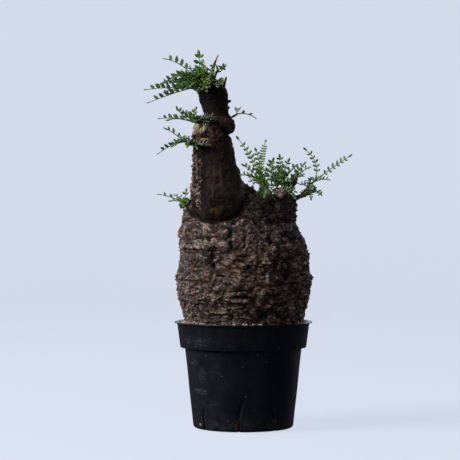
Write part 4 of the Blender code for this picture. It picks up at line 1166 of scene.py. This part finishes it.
# %% Leaflet
LEAFLET_ROWS = (0.0, 0.06, 0.2, 0.38, 0.58, 0.77, 0.92, 1.0)
LEAFLET_SKINS = [(-1, 0), (-0.5, 0), (0, 0), (0.5, 0), (1, 0), (0.5, 1), (0, 1), (-0.5, 1)]
PAPER = 0.22  # mm between the skins
RISE, DROOP, GROOVE = 0.24, 0.10, 0.10


def leaflet(shape, root, axis, edge, long, wide, **numbers):
    """An oval leaflet from root along axis, whose halves spread along edge."""
    out = edge.cross(axis).normalized()
    points, veins = [], []
    for share in LEAFLET_ROWS:
        half = wide / 2 * max(0.10, math.sin(math.pi * share**0.88) ** 0.56)
        middle = root + axis * (long * share) - out * (DROOP * long * share**2)
        for across, under in LEAFLET_SKINS:
            lift = RISE * half * abs(across) ** 1.4 - GROOVE * (across == 0) * half / wide - PAPER * under
            points.append(middle + edge * (half * across) + out * lift)
            veins.append(abs(across))
    rows = len(LEAFLET_ROWS)
    faces = [tuple(range(8)), tuple(reversed(range(8 * (rows - 1), 8 * rows)))]
    for row in range(rows - 1):
        for step in range(8):
            a, b = 8 * row + step, 8 * row + (step + 1) % 8
            faces.append((a, a + 8, b + 8, b))
    shape.add(points, faces, vein=veins, **numbers)


# %% [markdown]
# ## One leaf
#
# The stalk is a bowed curve from the shoot to the tip. Leaflets stand in pairs on its outer three
# quarters, larger in the middle than at the ends. Small random turns keep them from looking stamped.

# %% Stalk of a leaf
BARE_SHARE, LAST_PAIR = 0.26, 0.87  # of the stalk: with no leaflets, and up to the last pair
LEAFLET_STEP = 6.9  # mm between pairs
LEAFLET_LEAN = 58  # degrees from the stalk


def along(run, share):
    """The point at a share of the length of a run of points."""
    lengths = [(b - a).length for a, b in zip(run, run[1:])]
    left = share * sum(lengths)
    for (a, b), length in zip(zip(run, run[1:]), lengths):
        if left <= length:
            return a.lerp(b, left / length)
        left -= length
    return run[-1].copy()


class Stalk:
    """The bowed stalk of a leaf, with the directions across and out of the blade."""

    def __init__(self, start, tip, bow, face):
        self.start, self.tip, self.face = start, tip, face
        self.control = (start + tip) / 2 + bow
        self.length = sum((self.at(k / 12) - self.at((k + 1) / 12)).length for k in range(12))

    def at(self, share):
        ends = (1 - share) ** 2 * self.start + share**2 * self.tip
        return ends + 2 * share * (1 - share) * self.control

    def directions(self, share):
        ahead = (self.at(min(1, share + 0.02)) - self.at(max(0, share - 0.02))).normalized()
        out = (self.face - self.face.dot(ahead) * ahead).normalized()
        return ahead, ahead.cross(out), out


# %% Leaf
def leaf(shape, stalk, size, fold, step=LEAFLET_STEP, young=0.0, dim=0.0, stems=0.4, leaning=LEAFLET_LEAN):
    """A stalk with its pairs of leaflets and the one at its tip, growing out of shape."""
    long, wide = size[0] * (1.04 - 0.12 * young), size[1] * (0.94 - 0.1 * young)
    stations = [stalk.at(k / 10) for k in range(11)]
    radii = [0.68 - 0.034 * k for k in range(11)]
    shape.rod(stations, radii, 7, stem=0.08, young=max(young, stems), tone=0.6, dim=dim)
    pairs = max(2, round(stalk.length * (1 - BARE_SHARE) / step))
    for pair in range(pairs):
        share = BARE_SHARE + (LAST_PAIR - BARE_SHARE) * pair / (pairs - 0.2)
        ahead, side, out = stalk.directions(share)
        grown = 1 - 0.35 * abs(pair / max(1, pairs - 1) - 0.45)
        for sign in (-1, 1):
            bend = math.radians(fold) + dice.gauss(0, 0.13)
            outward = sign * side * math.cos(bend) + out * math.sin(bend)
            lean = math.radians(leaning) + dice.gauss(0, 0.10)
            axis = ahead * math.cos(lean) + outward * math.sin(lean)
            edge = sign * (ahead * math.sin(lean) - outward * math.cos(lean))
            turn = dice.gauss(0, 0.18)
            edge = edge * math.cos(turn) + axis.cross(edge) * math.sin(turn)
            scale = grown * dice.uniform(0.88, 1.06)
            root = stalk.at(share) + 0.3 * sign * side
            numbers = dict(young=young, tone=dice.random(), dim=dim)
            leaflet(shape, root, axis, edge, long * scale, wide * scale, **numbers)
    ahead, side, _ = stalk.directions(1)
    numbers = dict(young=young, tone=dice.random(), dim=dim)
    leaflet(shape, stalk.at(1) - ahead * long, ahead, -side, long, 0.9 * wide, **numbers)


# %% [markdown]
# ## Growing the sprays
#
# The hub of each spray is read off the end of the peg that holds it in the solid model, so spur, shoots
# and leaves start on the wood. The spur is bark and joins the twigs. The rest becomes one piece for each
# spray.

# %% Grow
PEG_DEPTH, HUB_RISE, PEG_REACH = 3.2, 1.5, 1.3


def hub_of(name, plan):
    """Where the spray's shoots meet, from the end of its peg."""
    out, near = Vector(plan["out"]).normalized(), Vector(plan["spur"])
    depths = []
    for vertex in frame["nodes"][name].data.vertices:
        offset = vertex.co / MM - near
        depth = offset.dot(out)
        if (offset - depth * out).length < PEG_REACH:
            depths.append(depth)
    return near + out * (min(depths) + PEG_DEPTH + HUB_RISE), out


# %% [markdown]
# Between the placed leaves the real bunches are full of shorter ones. They are drawn at random, each from a
# point on a shoot to a point on an egg round the bunch, and kept only where they clear the wood.

# %% Tufts of short leaves
# spray, centre and radii of its egg in mm, how many leaves, how young they can be, and how much shade is
# painted on them
TUFTS = [
    ("leaves_crown", (-48, -14, 375.5), (17, 22, 11), 32, 0.8, 0.0),
    ("leaves_crown", (-41, -26, 371.5), (14, 6, 6), 17, 0.7, 0.35),
    ("leaves_crown", (-71, -14, 372), (13, 13, 6), 12, 0.05, 0.0),
    ("leaves_crown", (-61, -26, 364), (11, 10, 5), 9, 0.7, 0.0),
    ("leaves_upper_left", (-58, -12, 337), (13, 14, 8), 8, 0.3, 0.2),
    ("leaves_upper_left", (-36, -27, 334), (11, 5, 5), 5, 0.0, 0.95),
    ("leaves_side_bud", (-62, -18, 307), (15, 12, 8), 8, 0.4, 0.0),
    ("leaves_side_bud", (-49, -29, 304), (9, 5, 4), 5, 0.4, 0.7),
    ("leaves_collar_left", (-60, -19, 241), (9, 8, 9), 24, 1.0, 0.0),
    ("leaves_shoulder_inner", (19, -22, 267), (21, 18, 15), 21, 0.4, 0.0),
    ("leaves_shoulder_inner", (25, -27, 256), (14, 10, 7), 15, 0.3, 0.3),
    ("leaves_shoulder_middle", (46, 2, 272), (24, 22, 14), 26, 0.25, 0.0),
    ("leaves_shoulder_outer", (74, -4, 266), (10, 12, 7), 4, 0.1, 0.0),
]  # fmt: skip
wood_tree = BVHTree.FromPolygons(
    [vertex.co / MM for vertex in wood_mesh.vertices], [face.vertices for face in wood_mesh.polygons]
)
TO_WINDOW = Vector((-0.83, -0.38, 0.41))
SHORTEST, LONGEST = 10, 36  # stalks of the short leaves, mm
TRIES_A_LEAF = 60


def clear_of_wood(stalk):
    """True where the outer stalk keeps off the wood, and out of the light and sight of the cut face."""
    for share in (0.3, 0.5, 0.7, 0.85, 1.0):
        place = stalk.at(share)
        nearest, normal, _, _ = wood_tree.find_nearest(place)
        if share > 0.4 and (place - nearest).dot(normal) < 2.5:
            return False
        from_cut = place - CUT_FACE
        for way, room in ((TO_WINDOW, 7.0), (Vector((0, -1, 0)), 8.0)):
            ahead = from_cut.dot(way)
            if 0 < ahead < 60 and (from_cut - ahead * way).length < room:
                return False
    return True


spray_shapes = {}
for name, plan in SPRAYS.items():
    hub, out = hub_of(name, plan)
    spur_tip = hub - out * HUB_RISE
    spur_run = [
        (*(spur_tip - out * (plan["reach"] + 4)), 1.5 * plan["thick"]),
        (*(spur_tip - out * 0.4 * plan["reach"]), 1.05 * plan["thick"]),
        (*spur_tip, 0.85 * plan["thick"]),
    ]
    gnarled_rod(twig_shape, spur_run, 0.35)
    spray = Shape("stem", "young", "tone", "vein", "dim")
    runs = [[hub] + [Vector(point) for point in run] for run in plan["shoots"]]
    step, stems = plan.get("step", LEAFLET_STEP), plan.get("stems", 0.4)
    for run in runs:
        start = run[0] - (run[1] - run[0]).normalized() * 1.2
        rod_run = [(*start, 1.4), *[(*point, 1.15 - 0.2 * k) for k, point in enumerate(run)]]
        gnarled_rod(spray, rod_run, 0.15, stem=1.0, tone=dice.random())
    for number, (shoot, place, tip, bow, fold, face) in enumerate(plan["leaves"]):
        stalk = Stalk(along(runs[shoot], 0.97 * place), Vector(tip), Vector(bow), Vector(face))
        young, dim = [plan.get(key, {}).get(number, 0.0) for key in ("young", "dim")]
        dense = plan.get("dense", {}).get(number, 1.0)
        size = [dense**0.4 * side for side in plan["leaflet"]]
        leaning = plan.get("lean", {}).get(number, LEAFLET_LEAN)
        leaf(spray, stalk, size, fold, dense * step, young, dim, stems, leaning)
    for _, centre, radii, count, youngest, dim in [tuft for tuft in TUFTS if tuft[0] == name]:
        made = tries = 0
        while made < count and tries < TRIES_A_LEAF * count:
            tries += 1
            outward = Vector([dice.gauss(0, 1) for _ in range(3)]).normalized()
            tip = Vector(centre) + Vector(outward[i] * radii[i] for i in range(3)) * dice.uniform(0.7, 1.0)
            start = along(dice.choice(runs[:3]), dice.uniform(0.1, 0.97))
            bow, face = Vector((0, 0, dice.uniform(1, 5))), outward * 0.6 + Vector((0, -0.3, 0.6))
            stalk = Stalk(start, tip, bow, face)
            if SHORTEST < stalk.length < LONGEST and clear_of_wood(stalk):
                fold, young = dice.uniform(15, 45), youngest * dice.random() ** 0.6
                leaf(spray, stalk, plan["leaflet"], fold, step, young, dim, stems)
                made += 1
        print(name, "tuft:", made, "of", count, "leaves in", tries, "tries")
    spray_shapes[name] = spray
    print(name, "has", len(spray.faces), "faces")

# %% [markdown]
# The leaflets are leathery: deep green, glossy on top, with a paler midrib, and bluish where the sheen
# catches the sky. Young leaves are lime. A little light passes through them, so a translucent shader is
# mixed in, more in the young ones. Shoots and stalks take their brown from a number stored on the mesh.

# %% Finish of the leaves
green = Shader("leathery_leaf", IOR=1.45, Specular_IOR_Level=0.9, Specular_Tint=(0.86, 0.93, 1.0, 1.0))
stem, young, tone, vein, dim = [green.stored(name) for name in ("stem", "young", "tone", "vein", "dim")]
mottle = green.grain(0.003, 3.0)
old_colour = green.ramp(
    tone * 0.8 + mottle * 0.25,
    (0.1, (0.085, 0.215, 0.150)), (0.45, (0.20, 0.40, 0.19)), (0.85, (0.46, 0.63, 0.24)),
)  # fmt: skip
lime = green.blend(tone, (0.34, 0.56, 0.04), (0.66, 0.82, 0.09))
blade = green.blend(young, old_colour, lime)
blade = green.blend(vein.between(0.32, 0.0) * 0.35, blade, (0.30, 0.42, 0.15))
# Painted shade: dim leaves are darkened towards black-green and let less light through.
blade = green.blend(dim * 0.8, blade, (0.018, 0.042, 0.020))
twig_brown = green.blend(green.grain(0.0015, 4.0), (0.035, 0.022, 0.014), (0.13, 0.085, 0.055))
green.feed("Base Color", green.blend(stem, blade, twig_brown))
green.feed("Roughness", 0.30 + 0.5 * stem + 0.16 * mottle)
green.bump(mottle * 0.6 + vein * 0.4, 0.0002)
lit_through = green.node("ShaderNodeBsdfTranslucent", values={"Color": (0.40, 0.67, 0.19, 1)}, output="BSDF")
surface = Value(green, green.surface.outputs["BSDF"])
share = (0.30 + 0.14 * young) * (1 - stem) * (1 - 0.8 * dim)
mixed = {0: share, 1: surface, 2: lit_through}
leaf_surface = green.node("ShaderNodeMixShader", values=mixed, output="Shader")
green.tree.links.new(leaf_surface.socket, green.tree.nodes["Material Output"].inputs["Surface"])


# %% The sprays and the twigs as pieces
for name, spray in spray_shapes.items():
    piece = add_piece(name.replace("leaves", "spray"), in_metres(spray.mesh(name)), green.material)
    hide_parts(name)

dry = Shader("twig_bark", Roughness=0.85)
pale = dry.stored("pale")
twig_grain = dry.grain(0.0014, 4.0, 0.65, dry.stretched(1, 1, 0.5))
twig_colour = dry.ramp(twig_grain, (0.3, (0.022, 0.014, 0.010)), (0.7, (0.11, 0.070, 0.048)))
twig_colour = dry.blend(pale, twig_colour, (0.46, 0.22, 0.12))
dry.feed("Base Color", dry.blend(dry.stored("straw"), twig_colour, (0.52, 0.42, 0.24)))
dry.bump(twig_grain, 0.0006)
twigs = add_piece("twigs_and_spurs", in_metres(twig_shape.mesh("twigs_and_spurs")), dry.material)
print("twigs:", len(twigs.data.polygons), "faces")

# %% [markdown]
# ## Stage and light
#
# A plain pale floor sweeps up into a wall all round, like the paper of a small studio, so no edge shows
# from any side. It glows a little by itself and gives the object no light: a pale room would otherwise
# fill every shadow. The object is lit by a broad soft window on the left. A wide light and two narrow ones
# behind draw the thin bright rims of the pot, and hardly anything comes from the front. Of the lamps, only
# the window lights the paper, so that the others draw no line across it.

# %% Floor that sweeps up
sweep_outline = [(0, -0.001), *[(0.4 * k, -0.001) for k in range(1, 6)]]
for k in range(1, 13):
    angle = math.pi / 2 * k / 12
    sweep_outline.append((2.4 + 1.2 * math.sin(angle), 1.2 * (1 - math.cos(angle)) - 0.001))
sweep_outline += [(3.6, 3.6), (3.7, 3.6), (3.7, -0.1), (0, -0.1)]
sweep_mesh = turned(sweep_outline, 128).mesh("sweep")
paper = Shader("pale_paper", Roughness=0.9, Emission_Strength=0.885)
paper.surface.inputs["Emission Color"].default_value = (0.70, 0.755, 0.88, 1)
soft = paper.grain(0.6, 2.0)
paper.feed("Base Color", paper.blend(soft, (0.17, 0.18, 0.20), (0.20, 0.21, 0.23)))
sweep_mesh.materials.append(paper.material)
sweep_mesh.shade_smooth()
sweep = bpy.data.objects.new("sweep", sweep_mesh)
bpy.context.scene.collection.objects.link(sweep)
sweep.visible_diffuse = sweep.visible_glossy = sweep.visible_transmission = False
paper_alone = bpy.data.collections.new("out of the glow")
paper_alone.objects.link(sweep)
paper_alone.collection_objects[0].light_linking.link_state = "EXCLUDE"

# %% Dim surround
world = bpy.data.worlds.new("dim surround")
bpy.context.scene.world = world
world.use_nodes = True
background = world.node_tree.nodes["Background"]
background.inputs["Color"].default_value = (0.80, 0.85, 1.0, 1)
background.inputs["Strength"].default_value = 0.05


# %% Lamps
def lamp(name, place, target, size, watts, colour):
    """A soft light at place, size wide and high, that looks at target."""
    data = bpy.data.lights.new(name, "AREA")
    data.shape, (data.size, data.size_y) = "RECTANGLE", size
    data.energy, data.color = watts, colour
    light = bpy.data.objects.new(name, data)
    bpy.context.scene.collection.objects.link(light)
    light.location = place
    light.rotation_euler = (Vector(target) - Vector(place)).to_track_quat("-Z", "Y").to_euler()
    return light


lamp("window", (-2.05, -0.95, 1.3), (0, 0, 0.22), (1.2, 1.2), 50, (0.98, 0.99, 1.0))
glows = [
    lamp("backdrop_glow", (0, 2.2, 0.9), (0, 0, 0.25), (3.2, 1.7), 25, (0.84, 0.91, 1.0)),
    lamp("side_glow", (-2.3, 0.9, 0.6), (0, 0, 0.1), (0.9, 1.2), 8, (0.80, 0.90, 1.0)),
    lamp("rim_glow", (1.55, 1.95, 0.8), (0, 0, 0.2), (0.8, 1.2), 8, (0.86, 0.91, 1.0)),
    lamp("fill", (1.1, -2.2, 0.9), (0, 0, 0.2), (1.4, 1.4), 5, (1.0, 0.96, 0.93)),
]
for glow in glows:
    glow.light_linking.receiver_collection = paper_alone
bpy.context.scene.view_settings.view_transform = "Standard"
